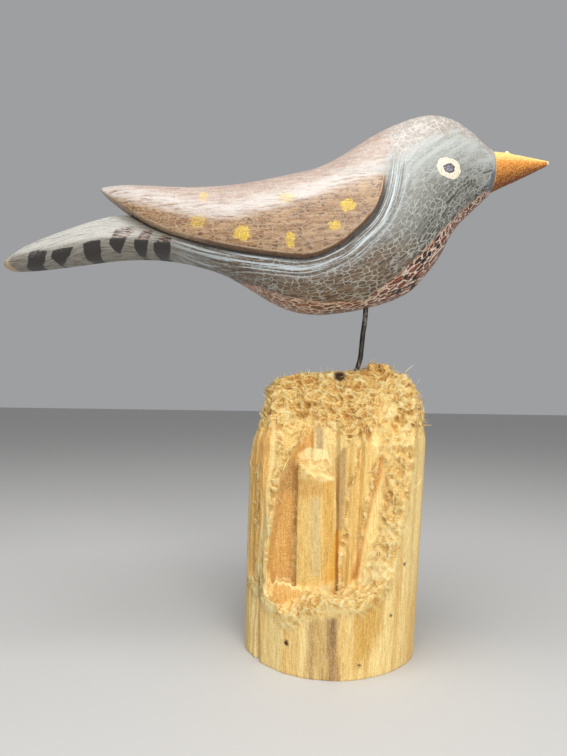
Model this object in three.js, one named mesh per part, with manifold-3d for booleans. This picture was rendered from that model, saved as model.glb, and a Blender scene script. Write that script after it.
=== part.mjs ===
// A painted wooden bird on a bent wire leg, set in a weathered, partly split piece of log.
// Millimetres, +Z up. +X runs along the bird towards its beak and +Y is the bird's left.
// The origin is the centre of the log's flat underside.

import * as THREE from 'three';
import { mergeVertices } from 'three/addons/utils/BufferGeometryUtils.js';
import Module from 'manifold-3d';

const wasm = await Module();
wasm.setup();

// Clearance between one piece and the next
const GAP = 0.3;

// Bird body in side view, [x, z] from the tail to the head
const TAIL_END = -142.9;
const HEAD_FRONT = 69.2;
const BACK_LINE = [
  [-104.2, 196.6], [-101, 197.2], [-90, 197.7], [-64, 196.7], [-41, 198.2], [-15, 203.9], [3, 210.6],
  [21, 222.3], [32, 227.6], [41, 229.8], [50, 228.6], [58, 224.2], [65, 218.2], [69.2, 215.4],
];
const TAIL_LINE = [
  [-142.9, 162.4], [-141.2, 165], [-134, 169.8], [-120, 175.8], [-104, 181.4], [-88, 185.4],
  [-70, 188], [-45, 191], [-20, 199.5], [-2, 207.2], [10, 215.1], [16, 219.4],
];
const BELLY_LINE = [
  [-142.9, 159.3], [-131, 159.9], [-110, 162.8], [-97, 164.7], [-84, 165.7], [-71, 165.2], [-59, 162.7],
  [-47, 158.8], [-34, 151.4], [-27, 147.2], [-18, 143.4], [-7, 141.8], [3, 142.6], [12, 144.1],
  [21, 146.4], [30, 149.8], [36, 153.6], [42, 160.6], [46.5, 166.6], [50.2, 174], [54, 180.2],
  [58, 184.8], [65, 191.6], [69.2, 195.8],
];
const BODY_HALF_WIDTH = [
  [-142.9, 5], [-141.6, 7.4], [-138, 8.8], [-125, 9.8], [-105, 10.8], [-88, 12], [-75, 13.6], [-60, 16],
  [-45, 19], [-30, 21.8], [-15, 24], [0, 25.6], [12, 26.2], [24, 25.8], [35, 24.2], [45, 21.4],
  [54, 17.8], [61, 14.2], [66, 11.4], [69.2, 9.8],
];
const WIDEST_HEIGHT = [
  [-142.9, 161], [-131, 164.5], [-115, 167.6], [-103, 170], [-92, 171.2], [-80, 170.6], [-60, 169],
  [-30, 166], [-10, 167], [5, 172], [20, 178], [35, 187], [45, 196], [55, 203], [69.2, 205.8],
];

// A body section is rounder than an ellipse. On the tail its upper half is cut to a slope and a flat top, at
// these shares of the half width and of the height.
const ROUNDNESS = 0.92;
const CHAMFER = { tail: -84, trunk: -52, topWidth: 0.42, slopeEnd: 0.8, slopeHeight: 0.97 };
const SKIN_STEPS = { body: [8, 12], wing: [5, 12] };

// Folded wings: a raised shape over the back, bounded in side view by its edge
const WING_EDGE = [
  [-104.2, 198], [-103.5, 195.8], [-100.3, 192.5], [-95.4, 189.1], [-85.3, 182.1], [-77.5, 177.3],
  [-68.8, 173.4], [-56.3, 169.3], [-43.6, 166.1], [-31.1, 163.7], [-18.8, 162], [-12.9, 161.7],
  [-6.8, 162.9], [1, 166.6], [6.8, 171.3], [12.7, 177.3], [15.8, 182.2], [17.9, 188], [19.2, 194.5],
  [20.2, 201], [21.4, 207], [23, 216],
];
const WING_OVERHEAD = 250;
const WING_HALF_WIDTH = [
  [-104.2, 2.6], [-101, 5], [-95, 8.6], [-88, 12], [-75, 16.4], [-60, 19.4], [-45, 22], [-30, 24.2],
  [-15, 26.2], [0, 27.6], [12, 28], [22, 27.4], [28, 26.4],
];
const WING_WIDEST_HEIGHT = [
  [-104.2, 190], [-88, 183], [-75, 177], [-60, 172.5], [-45, 169.5], [-30, 167.5], [-10, 168], [5, 172],
  [20, 178], [28, 182],
];
const WING_FRONT = 28;
const WING_OVERLAP = 2;
const WING_SINK = [[4, 0], [16, 0.7], [28, 2.4]];
const SHOULDER_FADE = { low: 184, high: 205, depth: 3.3, back: -26, front: 4 };
const COVE = { depth: 1.7, width: 9, keepClear: 6 };
const BACK_GROOVE = [[-106, 1.8], [-98, 2.2], [-80, 2.2], [-50, 1.7], [-20, 1.3], [-4, 0.6], [6, -0.6]];

// Beak, a blunt tapered peg: [x, z] of its upper and lower lines and [x, half width]
const BEAK_TIP = 96;
const BEAK_TOP = [[69.5, 215.2], [79, 214.3], [88, 212.9], [94.5, 211.9], [96, 211.5]];
const BEAK_BOTTOM = [[69.5, 197], [74.5, 199.4], [83.4, 203.6], [92.4, 208.1], [96, 210]];
const BEAK_HALF_WIDTH = [[69.5, 8.9], [79, 6.1], [88, 3.2], [94, 1.5], [96, 0.9]];

// Wire leg: its centre line in the plane of symmetry, [x, z], and how far its bores reach
const WIRE_RADIUS = 1.1;
const WIRE_LINE = [
  [8.6, 97], [9.4, 107], [10.9, 115.4], [12.8, 121.7], [13.4, 126.7], [14, 133.1], [14.8, 139],
  [15.2, 145], [15.6, 156],
];
const BORE_EXTRA = 0.4;

// Log: a leaning, slightly flaring round with a worn top
const LOG_RADIUS = 35.9;
const LOG_FLARE = 0.022;
const LOG_LEAN = 0.035;
const LOG_SIDES = 52;
const LOG_SIDE_HEIGHTS = [0, 9, 22, 36, 52, 68, 79];
const LOG_TOP_RINGS = [
  { height: 87, left: 0.975, right: 1 },
  { height: 95, left: 0.92, right: 0.98 },
  { height: 103, left: 0.88, right: 0.94 },
  { height: 109, left: 0.86, right: 0.875 },
  { height: 113.2, left: 0.76, right: 0.77 },
  { height: 115.6, left: 0.58, right: 0.6 },
  { height: 116.8, left: 0.38, right: 0.38 },
  { height: 116.8, left: 0.18, right: 0.18 },
];
const LOG_TOP_TILT = 0.07;
const CREST = { x: 21, y: 4, radius: 9, height: 2.6 };

// Split-out hollow in the log's front: the edges that run up it, [height, x], and the rim of the ledge below
const LEDGE_BACK = [
  [-31, 31], [-27.4, 29], [-25.8, 28.6], [-24.4, 31.7], [-23, 27.8], [-21, 30.6], [-17.8, 30.8],
  [-13.8, 29.5], [-5, 28], [1, 27.3], [5, 28.2], [9, 30.6], [13, 32.3], [18, 34.6], [36, 42],
];
const LEDGE_FRONT = [
  [-31, 30], [-27, 27.8], [-22.7, 25.1], [-18.9, 22.6], [-15.2, 23], [-12.2, 26.7], [-7.8, 29],
  [-2.1, 30.2], [9.1, 29.2], [14.8, 31.5], [18.5, 33.8], [22.4, 38], [36, 46],
];
const RIDGE = [
  [20, -28.4], [29, -27.8], [46, -26.7], [60, -24.6], [72, -22.4], [82, -19.7], [95, -15.5], [124, -10],
];
const RIM = [
  [20, 17], [34, 18.8], [38, 22.2], [44, 24.4], [52, 26], [63, 28.4], [74, 30.4], [86, 32.4], [124, 36],
];
const HOLLOW_ROWS = 15;
const HOLLOW_TOP = 126;

// Across the hollow: a flat facet up to the ridge, strips that lean with their height, and a bowl out to the
// rim. Above SLOPE.start the wall lies back as a worn slope.
const FACET = { x: -30.2, y: -22.4 };
const RIDGE_STEPS = [
  { out: -0.2, foot: -24.4, head: -22.6 },
  { out: 1, foot: -23.8, head: -22.4 },
  { out: 3.6, foot: -19.8, head: -21.8 },
];
const RIDGE_FADE = 45;
const STRIPS = [
  { x: -14, lean: 0, y: -18.8 },
  { x: -8.9, lean: 0, y: -19.4 },
  { x: -8.2, lean: 0, y: -21 },
  { x: -3.6, lean: 0, y: -20.6 },
  { x: 1.6, lean: 0, y: -17.6 },
  { x: 3, lean: 0.01, y: -22.2 },
  { x: 6.5, lean: 0.03, y: -20.6 },
  { x: 8.2, lean: 0.04, y: -23.4 },
];
const BOWL = { x: 9.5, lean: 0.05, y: -22.5, curve: 1.5, shares: [0, 0.2, 0.45, 0.7, 0.88, 1] };
const SLOPE = { start: 86, lean: 0.34, curve: 0.006, wear: 1.3, wearOver: 8 };

// Upright tongue of wood left standing in the hollow: its outline on plan, and the slanting break across its
// top as [x, z] along the break's front and back edges
const TONGUE = [
  [-14.8, -12], [-14.9, -19], [-14.6, -24.4], [-11, -25.5], [-5.7, -26.2], [-1.5, -25.8], [0.6, -24.6],
  [0.2, -19], [-1, -12],
];
const TONGUE_HEIGHTS = { foot: 20, head: 95 };
const BREAK_FRONT = { y: -27.5, line: [[-17, 79], [-11, 76.4], [-5.7, 69.4], [-1.5, 70], [3, 72]] };
const BREAK_BACK = { y: -16, line: [[-17, 85], [-11, 86.6], [-5.7, 88], [-1.5, 87], [3, 84]] };

// Drying crack at the log's lower left
const CRACK = { angle: 213, halfWidth: 1.9, depth: 7, low: -2, high: 34 };

const COLOURS = {
  paint: 0x7d8286,
  beak: 0xc9822e,
  wire: 0x2c2723,
  wood: 0xd9b173,
};

// Smooth curve through [position, value] points, level beyond its ends
function through(points) {
  const last = points.length - 1;
  const slopeAt = (i) => {
    const a = points[Math.max(i - 1, 0)];
    const b = points[Math.min(i + 1, last)];
    return (b[1] - a[1]) / (b[0] - a[0]);
  };
  return (position) => {
    if (position <= points[0][0]) return points[0][1];
    if (position >= points[last][0]) return points[last][1];
    const i = points.findIndex((p) => p[0] >= position) - 1;
    const span = points[i + 1][0] - points[i][0];
    const t = (position - points[i][0]) / span;
    const rise = (3 - 2 * t) * t * t;
    const leave = t * (1 - t) * (1 - t) * span * slopeAt(i);
    const arrive = t * t * (t - 1) * span * slopeAt(i + 1);
    return THREE.MathUtils.lerp(points[i][1], points[i + 1][1], rise) + leave + arrive;
  };
}

// Positions from start to end, closer together near both ends
function stations(start, end, count, crowding) {
  return Array.from({ length: count + 1 }, (_, i) => {
    const t = i / count;
    const eased = 0.5 - 0.5 * Math.cos(Math.PI * t);
    return THREE.MathUtils.lerp(start, end, THREE.MathUtils.lerp(t, eased, crowding));
  });
}

// Closed skin over rings with the same number of points, with a fan over each end
function loft(rings) {
  const sides = rings[0].length;
  const centre = (ring) => ring.reduce((sum, p) => sum.add(p), new THREE.Vector3()).divideScalar(sides);
  const points = rings.flat();
  const first = points.push(centre(rings[0])) - 1;
  const last = points.push(centre(rings[rings.length - 1])) - 1;
  const faces = [];
  for (let i = 0; i < sides; i += 1) {
    const next = (i + 1) % sides;
    faces.push(first, next, i);
    for (let r = 0; r + 1 < rings.length; r += 1) {
      const a = r * sides + i;
      const b = r * sides + next;
      faces.push(a, b, b + sides, a, b + sides, a + sides);
    }
    const top = (rings.length - 1) * sides;
    faces.push(last, top + i, top + next);
  }
  const geometry = new THREE.BufferGeometry().setFromPoints(points);
  geometry.setIndex(faces);
  return geometry;
}

// Solid for joining and cutting, turned outwards if its faces point in
function solid(geometry) {
  const bare = geometry.clone();
  bare.deleteAttribute('normal');
  bare.deleteAttribute('uv');
  const merged = mergeVertices(bare, 1e-4);
  const build = (triVerts) => new wasm.Manifold(new wasm.Mesh({
    numProp: 3,
    vertProperties: merged.attributes.position.array,
    triVerts,
  }));
  const triangles = new Uint32Array(merged.index.array);
  const made = build(triangles);
  return made.volume() > 0 ? made : build(triangles.reverse());
}

function geometryOf(manifold) {
  const mesh = manifold.getMesh();
  const geometry = new THREE.BufferGeometry();
  geometry.setAttribute('position', new THREE.BufferAttribute(new Float32Array(mesh.vertProperties), 3));
  geometry.setIndex(new THREE.BufferAttribute(new Uint32Array(mesh.triVerts), 1));
  return geometry.toNonIndexed();
}

function meshOf(name, manifold, colour, roughness, metalness) {
  const geometry = geometryOf(manifold);
  geometry.computeVertexNormals();
  const material = new THREE.MeshStandardMaterial({ color: colour, roughness, metalness });
  const mesh = new THREE.Mesh(geometry, material);
  mesh.name = name;
  return mesh;
}

// Distance from a side-view point to the wing's edge, zero or less inside the wing
function wingDistance(x, z) {
  let nearest = Infinity;
  let inside = false;
  const [frontX] = WING_EDGE[WING_EDGE.length - 1];
  const outline = [...WING_EDGE, [frontX, WING_OVERHEAD], [WING_EDGE[0][0], WING_OVERHEAD]];
  outline.forEach(([ax, az], i) => {
    const [bx, bz] = outline[(i + 1) % outline.length];
    const along = ((x - ax) * (bx - ax) + (z - az) * (bz - az)) / ((bx - ax) ** 2 + (bz - az) ** 2);
    const t = THREE.MathUtils.clamp(along, 0, 1);
    nearest = Math.min(nearest, Math.hypot(x - ax - t * (bx - ax), z - az - t * (bz - az)));
    if (az > z !== bz > z && x < ax + ((z - az) / (bz - az)) * (bx - ax)) inside = !inside;
  });
  return inside ? -nearest : nearest;
}

// One half of a section, from the keel up to the back, as [half width, height] pairs
function halfSection(shape, lowSteps, highSteps) {
  const points = [];
  for (let i = -lowSteps; i <= highSteps; i += 1) {
    const t = i < 0 ? i / lowSteps : i / highSteps;
    const angle = (t * Math.PI) / 2;
    const reach = t < 0 ? shape.widest - shape.bottom : shape.top - shape.widest;
    const width = shape.halfWidth * Math.max(Math.cos(angle), 0) ** ROUNDNESS;
    const rise = Math.sin(angle);
    const slope = Math.min(t / CHAMFER.slopeEnd, 1);
    const flat = Math.max((t - CHAMFER.slopeEnd) / (1 - CHAMFER.slopeEnd), 0);
    const cutWidth = shape.halfWidth * THREE.MathUtils.lerp(1, CHAMFER.topWidth, slope) * (1 - flat);
    const cutRise = THREE.MathUtils.lerp(slope * CHAMFER.slopeHeight, 1, flat);
    const mix = t > 0 ? shape.chamfer : 0;
    points.push([
      Math.abs(t) === 1 ? 0 : THREE.MathUtils.lerp(width, cutWidth, mix),
      shape.widest + reach * THREE.MathUtils.lerp(rise, cutRise, mix),
    ]);
  }
  return points;
}

// Whole ring at x from a half section, keel first, up one side and down the other
function ringFrom(x, half) {
  const left = half.map(([y, z]) => new THREE.Vector3(x, y, z));
  const right = half.slice(1, -1).reverse().map(([y, z]) => new THREE.Vector3(x, -y, z));
  return [...left, ...right];
}

// Body and wings share their sections, so that the line where they meet runs clean
const BODY_STATIONS = stations(TAIL_END, HEAD_FRONT, 50, 0.3);

function bodySolid() {
  const back = through(BACK_LINE);
  const tail = through(TAIL_LINE);
  const belly = through(BELLY_LINE);
  const halfWidth = through(BODY_HALF_WIDTH);
  const widest = through(WIDEST_HEIGHT);
  const lastTail = TAIL_LINE[TAIL_LINE.length - 1][0];
  const rings = BODY_STATIONS.map((x) => {
    const shape = {
      top: x > lastTail ? back(x) : tail(x),
      bottom: belly(x),
      halfWidth: halfWidth(x),
      widest: widest(x),
      chamfer: 1 - THREE.MathUtils.smoothstep(x, CHAMFER.tail, CHAMFER.trunk),
    };
    const half = halfSection(shape, ...SKIN_STEPS.body).map(([y, z]) => {
      const near = THREE.MathUtils.clamp(1 - wingDistance(x, z) / COVE.width, 0, 1);
      const fade = 1 - THREE.MathUtils.smoothstep(z, SHOULDER_FADE.low, SHOULDER_FADE.high);
      const cove = COVE.depth * near * near * fade * Math.min(1, y / COVE.keepClear);
      return [Math.max(y - cove, 0), z];
    });
    return ringFrom(x, half);
  });
  return solid(loft(rings));
}

function wingBlank() {
  const back = through(BACK_LINE);
  const belly = through(BELLY_LINE);
  const sink = through(WING_SINK);
  const halfWidth = through(WING_HALF_WIDTH);
  const widest = through(WING_WIDEST_HEIGHT);
  const [tipX] = WING_EDGE[0];
  const between = BODY_STATIONS.filter((x) => x > tipX + 1 && x < WING_FRONT - 1);
  const rings = [tipX, ...between, WING_FRONT].map((x) => {
    const shape = {
      top: back(x) - sink(x),
      bottom: belly(x) - WING_OVERLAP,
      halfWidth: halfWidth(x),
      widest: widest(x),
      chamfer: 0,
    };
    const half = halfSection(shape, ...SKIN_STEPS.wing).map(([y, z]) => {
      const high = THREE.MathUtils.smoothstep(z, SHOULDER_FADE.low, SHOULDER_FADE.high);
      const forward = THREE.MathUtils.smoothstep(x, SHOULDER_FADE.back, SHOULDER_FADE.front);
      return [Math.max(y - SHOULDER_FADE.depth * high * forward, 0), z];
    });
    return ringFrom(x, half);
  });
  return solid(loft(rings));
}

// Wing outline as a thick plate across the bird, which trims the wing blank to its edge
function wingPlate() {
  const reach = 40;
  const outline = new THREE.Shape();
  const edge = new THREE.SplineCurve(WING_EDGE.map(([x, z]) => new THREE.Vector2(x, z)));
  const [frontX] = WING_EDGE[WING_EDGE.length - 1];
  outline.setFromPoints([
    ...edge.getPoints(64),
    new THREE.Vector2(frontX, WING_OVERHEAD),
    new THREE.Vector2(WING_EDGE[0][0], WING_OVERHEAD),
  ]);
  const plate = new THREE.ExtrudeGeometry(outline, { depth: 2 * reach, bevelEnabled: false });
  plate.rotateX(Math.PI / 2);
  plate.translate(0, reach, 0);
  return solid(plate);
}

// Shallow groove along the back that parts the two wings
function backGroove() {
  const back = through(BACK_LINE);
  const rings = BACK_GROOVE.map(([x, depth]) => {
    const brim = back(x) + 3;
    const halfOpening = 0.45 * depth + 1.6;
    return [
      new THREE.Vector3(x, 0, back(x) - depth),
      new THREE.Vector3(x, halfOpening, brim),
      new THREE.Vector3(x, -halfOpening, brim),
    ];
  });
  return solid(loft(rings));
}

function wireSolid(radius) {
  const section = new THREE.Shape().absarc(0, 0, radius, 0, 2 * Math.PI);
  const path = new THREE.CatmullRomCurve3(WIRE_LINE.map(([x, z]) => new THREE.Vector3(x, 0, z)));
  return solid(new THREE.ExtrudeGeometry(section, { steps: 18, curveSegments: 6, extrudePath: path }));
}

function birdSolid() {
  const wings = wingBlank().intersect(wingPlate());
  return bodySolid().add(wings).subtract(backGroove()).subtract(wireSolid(WIRE_RADIUS + BORE_EXTRA));
}

function beakSolid() {
  const top = through(BEAK_TOP);
  const bottom = through(BEAK_BOTTOM);
  const halfWidth = through(BEAK_HALF_WIDTH);
  const sides = 18;
  const rings = stations(HEAD_FRONT + GAP, BEAK_TIP, 9, 0.3).map((x) => {
    const middle = (top(x) + bottom(x)) / 2;
    const halfHeight = (top(x) - bottom(x)) / 2;
    return Array.from({ length: sides }, (_, i) => {
      const angle = (2 * Math.PI * i) / sides;
      return new THREE.Vector3(x, halfWidth(x) * Math.cos(angle), middle + halfHeight * Math.sin(angle));
    });
  });
  return solid(loft(rings));
}

// Uneven wood: a repeatable value from -1 to 1 for each direction and row
function roughness(direction, row) {
  return Math.sin(direction * 2.7 + row * 1.9) * Math.sin(direction * 7.3 - row * 4.1);
}

function logAxis(z) {
  return LOG_LEAN * z;
}

function logRadius(z) {
  return LOG_RADIUS + LOG_FLARE * z;
}

// The log before its front splits out: flat below, ribbed sides and a rough, tilted top
function logRound() {
  const ringAt = (radiusAt, heightAt, unevenness, row) => Array.from({ length: LOG_SIDES }, (_, i) => {
    const angle = (2 * Math.PI * i) / LOG_SIDES;
    const out = radiusAt(Math.cos(angle)) + unevenness * roughness(i, row);
    const x = out * Math.cos(angle);
    const y = out * Math.sin(angle);
    const z = heightAt(x, y, i);
    return new THREE.Vector3(x + logAxis(z), y, z);
  });
  const sides = LOG_SIDE_HEIGHTS.map((z, row) => ringAt(() => logRadius(z), () => z, 0.35, row * 0.2));
  const top = LOG_TOP_RINGS.map(({ height, left, right }, row) => ringAt(
    (toRight) => logRadius(height) * THREE.MathUtils.lerp(left, right, (1 + toRight) / 2),
    (x, y, i) => {
      const crest = CREST.height * Math.exp(-(((x - CREST.x) ** 2 + (y - CREST.y) ** 2) / CREST.radius ** 2));
      return height + LOG_TOP_TILT * Math.max(x, 0) + crest + 0.9 * roughness(i * 1.7, row + 3);
    },
    0.7,
    row + 5,
  ));
  return solid(loft([...sides, ...top]));
}

// Depth of the hollow's back wall at a point of the front, with the worn slope above it
function hollowDepth(x, y, z) {
  const above = Math.max(z - SLOPE.start, 0);
  const wear = SLOPE.wear * roughness(0.9 * x, 0.35 * z) * Math.min(above / SLOPE.wearOver, 1);
  return y + SLOPE.lean * above + SLOPE.curve * above * above + wear;
}

// What has split out of the front: upright strips between the ridge on the left and the rim on the right
function hollowSolid() {
  const ridge = through(RIDGE);
  const rim = through(RIM);
  const ledgeBack = through(LEDGE_BACK);
  const ledgeFront = through(LEDGE_FRONT);
  const outside = -60;
  const footHeight = 30;
  const outerFace = (x, z) => -Math.sqrt(Math.max(logRadius(z) ** 2 - (x - logAxis(z)) ** 2, 1));
  const upridge = ({ out, foot, head }) => (z) => {
    const risen = THREE.MathUtils.smoothstep(z, RIDGE_FADE, SLOPE.start);
    return [ridge(z) + out, THREE.MathUtils.lerp(foot, head, risen)];
  };
  const upstrip = ({ x, lean, y }) => (z) => [x + lean * z, y];
  const upbowl = (share) => (z) => {
    const x = THREE.MathUtils.lerp(BOWL.x + BOWL.lean * z, rim(z), share);
    return [x, THREE.MathUtils.lerp(BOWL.y, outerFace(rim(z), z) - 0.4, share ** BOWL.curve)];
  };
  const columns = [
    () => [FACET.x - 0.8, outside],
    () => [FACET.x, FACET.y],
    ...RIDGE_STEPS.map(upridge),
    ...STRIPS.map(upstrip),
    ...BOWL.shares.map(upbowl),
    (z) => [rim(z) + 1.5, outside],
  ];
  const wall = (column, share) => {
    const [footX] = column(footHeight);
    const z = THREE.MathUtils.lerp(ledgeBack(footX), HOLLOW_TOP, share);
    const [x, y] = column(z);
    return new THREE.Vector3(x, y === outside ? outside : hollowDepth(x, y, z), z);
  };
  const front = (column, share) => {
    const back = wall(column, share);
    const [footX] = column(footHeight);
    const ledgeLength = Math.max(back.y - outerFace(footX, footHeight), 3);
    const ledgeSlope = (ledgeFront(footX) - ledgeBack(footX)) / ledgeLength;
    const drop = share === 0 ? ledgeSlope * (back.y - outside) : 0;
    return new THREE.Vector3(back.x, outside - 1, Math.max(back.z + drop, 1.5));
  };
  const rowShares = Array.from({ length: HOLLOW_ROWS + 1 }, (_, i) => i / HOLLOW_ROWS);
  const rings = columns.map((column) => [
    ...rowShares.map((share) => wall(column, share)),
    ...rowShares.slice().reverse().map((share) => front(column, share)),
  ]);
  return solid(loft(rings));
}

function tongueSolid() {
  const level = (z) => TONGUE.map(([x, y]) => new THREE.Vector3(x, y, z));
  const post = solid(loft([level(TONGUE_HEIGHTS.foot), level(TONGUE_HEIGHTS.head)]));
  const above = TONGUE_HEIGHTS.head + 5;
  const broken = [BREAK_FRONT, BREAK_BACK].map(({ y, line }) => [
    ...line.map(([x, z]) => new THREE.Vector3(x, y, z)),
    new THREE.Vector3(line[line.length - 1][0], y, above),
    new THREE.Vector3(line[0][0], y, above),
  ]);
  return post.subtract(solid(loft(broken)));
}

// Wedge that opens towards the log's outside and closes as it runs up
function crackSolid() {
  const angle = THREE.MathUtils.degToRad(CRACK.angle);
  const outward = new THREE.Vector3(Math.cos(angle), Math.sin(angle), 0);
  const across = new THREE.Vector3(-Math.sin(angle), Math.cos(angle), 0);
  const ringAt = (z, opening) => {
    const surface = outward.clone().multiplyScalar(logRadius(z)).add(new THREE.Vector3(logAxis(z), 0, z));
    const brim = surface.clone().addScaledVector(outward, 3);
    return [
      surface.clone().addScaledVector(outward, -CRACK.depth),
      brim.clone().addScaledVector(across, -CRACK.halfWidth * opening),
      brim.clone().addScaledVector(across, CRACK.halfWidth * opening),
    ];
  };
  return solid(loft([ringAt(CRACK.low, 1.1), ringAt(14, 1), ringAt(25, 0.8), ringAt(CRACK.high, 0.3)]));
}

function logSolid() {
  return logRound()
    .subtract(hollowSolid())
    .add(tongueSolid())
    .subtract(crackSolid())
    .subtract(wireSolid(WIRE_RADIUS + BORE_EXTRA));
}

const carving = new THREE.Group();
carving.add(
  meshOf('bird_body', birdSolid(), COLOURS.paint, 0.45, 0),
  meshOf('beak', beakSolid(), COLOURS.beak, 0.75, 0),
  meshOf('wire_leg', wireSolid(WIRE_RADIUS), COLOURS.wire, 0.6, 0.6),
  meshOf('log_base', logSolid(), COLOURS.wood, 0.9, 0),
);

export default carving;
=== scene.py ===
"""A painted wooden bird on a wire leg, set in a weathered log, dressed for rendering.

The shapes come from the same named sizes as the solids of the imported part, worked out finer, in millimetres.
+X runs along the bird towards its beak, +Y is its left and the log stands on z = 0.
"""
import functools
import itertools
import math

import bpy
import numpy as np
import openvdb
from mathutils import Euler, Matrix, Vector


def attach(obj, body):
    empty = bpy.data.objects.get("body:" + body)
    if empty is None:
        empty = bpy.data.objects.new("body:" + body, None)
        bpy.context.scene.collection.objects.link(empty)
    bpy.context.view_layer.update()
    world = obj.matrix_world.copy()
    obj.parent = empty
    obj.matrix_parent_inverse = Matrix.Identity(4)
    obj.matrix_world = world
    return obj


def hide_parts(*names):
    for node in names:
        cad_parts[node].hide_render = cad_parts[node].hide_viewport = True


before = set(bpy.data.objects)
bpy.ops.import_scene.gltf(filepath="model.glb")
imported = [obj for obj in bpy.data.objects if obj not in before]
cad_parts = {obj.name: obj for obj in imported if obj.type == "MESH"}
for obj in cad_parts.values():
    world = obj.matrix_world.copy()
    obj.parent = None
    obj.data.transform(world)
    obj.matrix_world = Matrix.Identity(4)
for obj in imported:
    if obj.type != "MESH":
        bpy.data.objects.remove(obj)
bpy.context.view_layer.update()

MM = 0.001
TINY = 1e-6


def ramp(value, low, high):
    """0 at low, 1 at high, smooth between and level beyond; low may be the higher one."""
    t = np.clip((value - low) / (high - low), 0, 1)
    return t * t * (3 - 2 * t)


def lerp(a, b, share):
    return a + (b - a) * share


def lowest(*values):
    return functools.reduce(np.minimum, values)


def highest(*values):
    return functools.reduce(np.maximum, values)


def curve(points):
    """Smooth curve through (position, value) points, level beyond its ends."""
    at, value = np.array(points, float).T
    slope = np.gradient(value, at)
    slope[1:-1] = (value[2:] - value[:-2]) / (at[2:] - at[:-2])

    def value_at(position):
        place = np.clip(position, at[0], at[-1])
        i = np.clip(np.searchsorted(at, place) - 1, 0, len(at) - 2)
        span = at[i + 1] - at[i]
        t = (place - at[i]) / span
        rise = (3 - 2 * t) * t * t
        leave = t * (1 - t) ** 2 * span * slope[i]
        arrive = t * t * (t - 1) * span * slope[i + 1]
        return lerp(value[i], value[i + 1], rise) + leave + arrive

    return value_at


# Bird body in side view, (x, z) from the tail to the head
TAIL_END = -142.9
HEAD_FRONT = 69.2
BACK_LINE = curve([
    (-104.2, 196.6), (-101, 197.2), (-90, 197.7), (-64, 196.7), (-41, 198.2), (-15, 203.9), (3, 210.6),
    (21, 222.3), (32, 227.6), (41, 229.8), (50, 228.6), (58, 224.2), (65, 218.2), (69.2, 215.4),
])
TAIL_LINE = curve([
    (-142.9, 162.4), (-141.2, 165), (-134, 169.8), (-120, 175.8), (-104, 181.4), (-88, 185.4),
    (-70, 188), (-45, 191), (-20, 199.5), (-2, 207.2), (10, 215.1), (16, 219.4),
])
TAIL_LINE_END = 16
BELLY_LINE = curve([
    (-142.9, 159.3), (-131, 159.9), (-110, 162.8), (-97, 164.7), (-84, 165.7), (-71, 165.2), (-59, 162.7),
    (-47, 158.8), (-34, 151.4), (-27, 147.2), (-18, 143.4), (-7, 141.8), (3, 142.6), (12, 144.1),
    (21, 146.4), (30, 149.8), (36, 153.6), (42, 160.6), (46.5, 166.6), (50.2, 174), (54, 180.2),
    (58, 184.8), (65, 191.6), (69.2, 195.8),
])
BODY_HALF_WIDTH = curve([
    (-142.9, 5), (-141.6, 7.4), (-138, 8.8), (-125, 9.8), (-105, 10.8), (-88, 12), (-75, 13.6), (-60, 16),
    (-45, 19), (-30, 21.8), (-15, 24), (0, 25.6), (12, 26.2), (24, 25.8), (35, 24.2), (45, 21.4),
    (54, 17.8), (61, 14.2), (66, 11.4), (69.2, 9.8),
])
WIDEST_HEIGHT = curve([
    (-142.9, 161), (-131, 164.5), (-115, 167.6), (-103, 170), (-92, 171.2), (-80, 170.6), (-60, 169),
    (-30, 166), (-10, 167), (5, 172), (20, 178), (35, 187), (45, 196), (55, 203), (69.2, 205.8),
])
ROUNDNESS = 0.92
CHAMFER = {"tail": -84, "trunk": -52, "top_width": 0.42, "slope_end": 0.8, "slope_height": 0.97}
BODY_RINGS = 300
RING_STEPS = 40

# Folded wings, bounded in side view by their edge
WING_EDGE = [
    (-104.2, 198), (-103.5, 195.8), (-100.3, 192.5), (-95.4, 189.1), (-85.3, 182.1), (-77.5, 177.3),
    (-68.8, 173.4), (-56.3, 169.3), (-43.6, 166.1), (-31.1, 163.7), (-18.8, 162), (-12.9, 161.7),
    (-6.8, 162.9), (1, 166.6), (6.8, 171.3), (12.7, 177.3), (15.8, 182.2), (17.9, 188), (19.2, 194.5),
    (20.2, 201), (21.4, 207), (23, 216),
]
WING_OVERHEAD = 250
WING_HALF_WIDTH = curve([
    (-104.2, 2.6), (-101, 5), (-95, 8.6), (-88, 12), (-75, 16.4), (-60, 19.4), (-45, 22), (-30, 24.2),
    (-15, 26.2), (0, 27.6), (12, 28), (22, 27.4), (28, 26.4),
])
WING_WIDEST_HEIGHT = curve([
    (-104.2, 190), (-88, 183), (-75, 177), (-60, 172.5), (-45, 169.5), (-30, 167.5), (-10, 168), (5, 172),
    (20, 178), (28, 182),
])
WING_FRONT = 28
WING_OVERLAP = 2
WING_RINGS = 240
WING_SINK = curve([(4, 0), (16, 0.7), (28, 2.4)])
SHOULDER = {"low": 184, "high": 205, "depth": 3.3, "back": -26, "front": 4}
COVE = {"depth": 1.7, "width": 9}
WING_EDGE_ROUNDED = 1.3
BACK_GROOVE = curve([(-106, 1.8), (-98, 2.2), (-80, 2.2), (-50, 1.7), (-20, 1.3), (-4, 0.6), (6, -0.6)])
GROOVE = {"rise": 3, "widening": 0.45, "half_width": 1.6, "rounded": 0.9}

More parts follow.
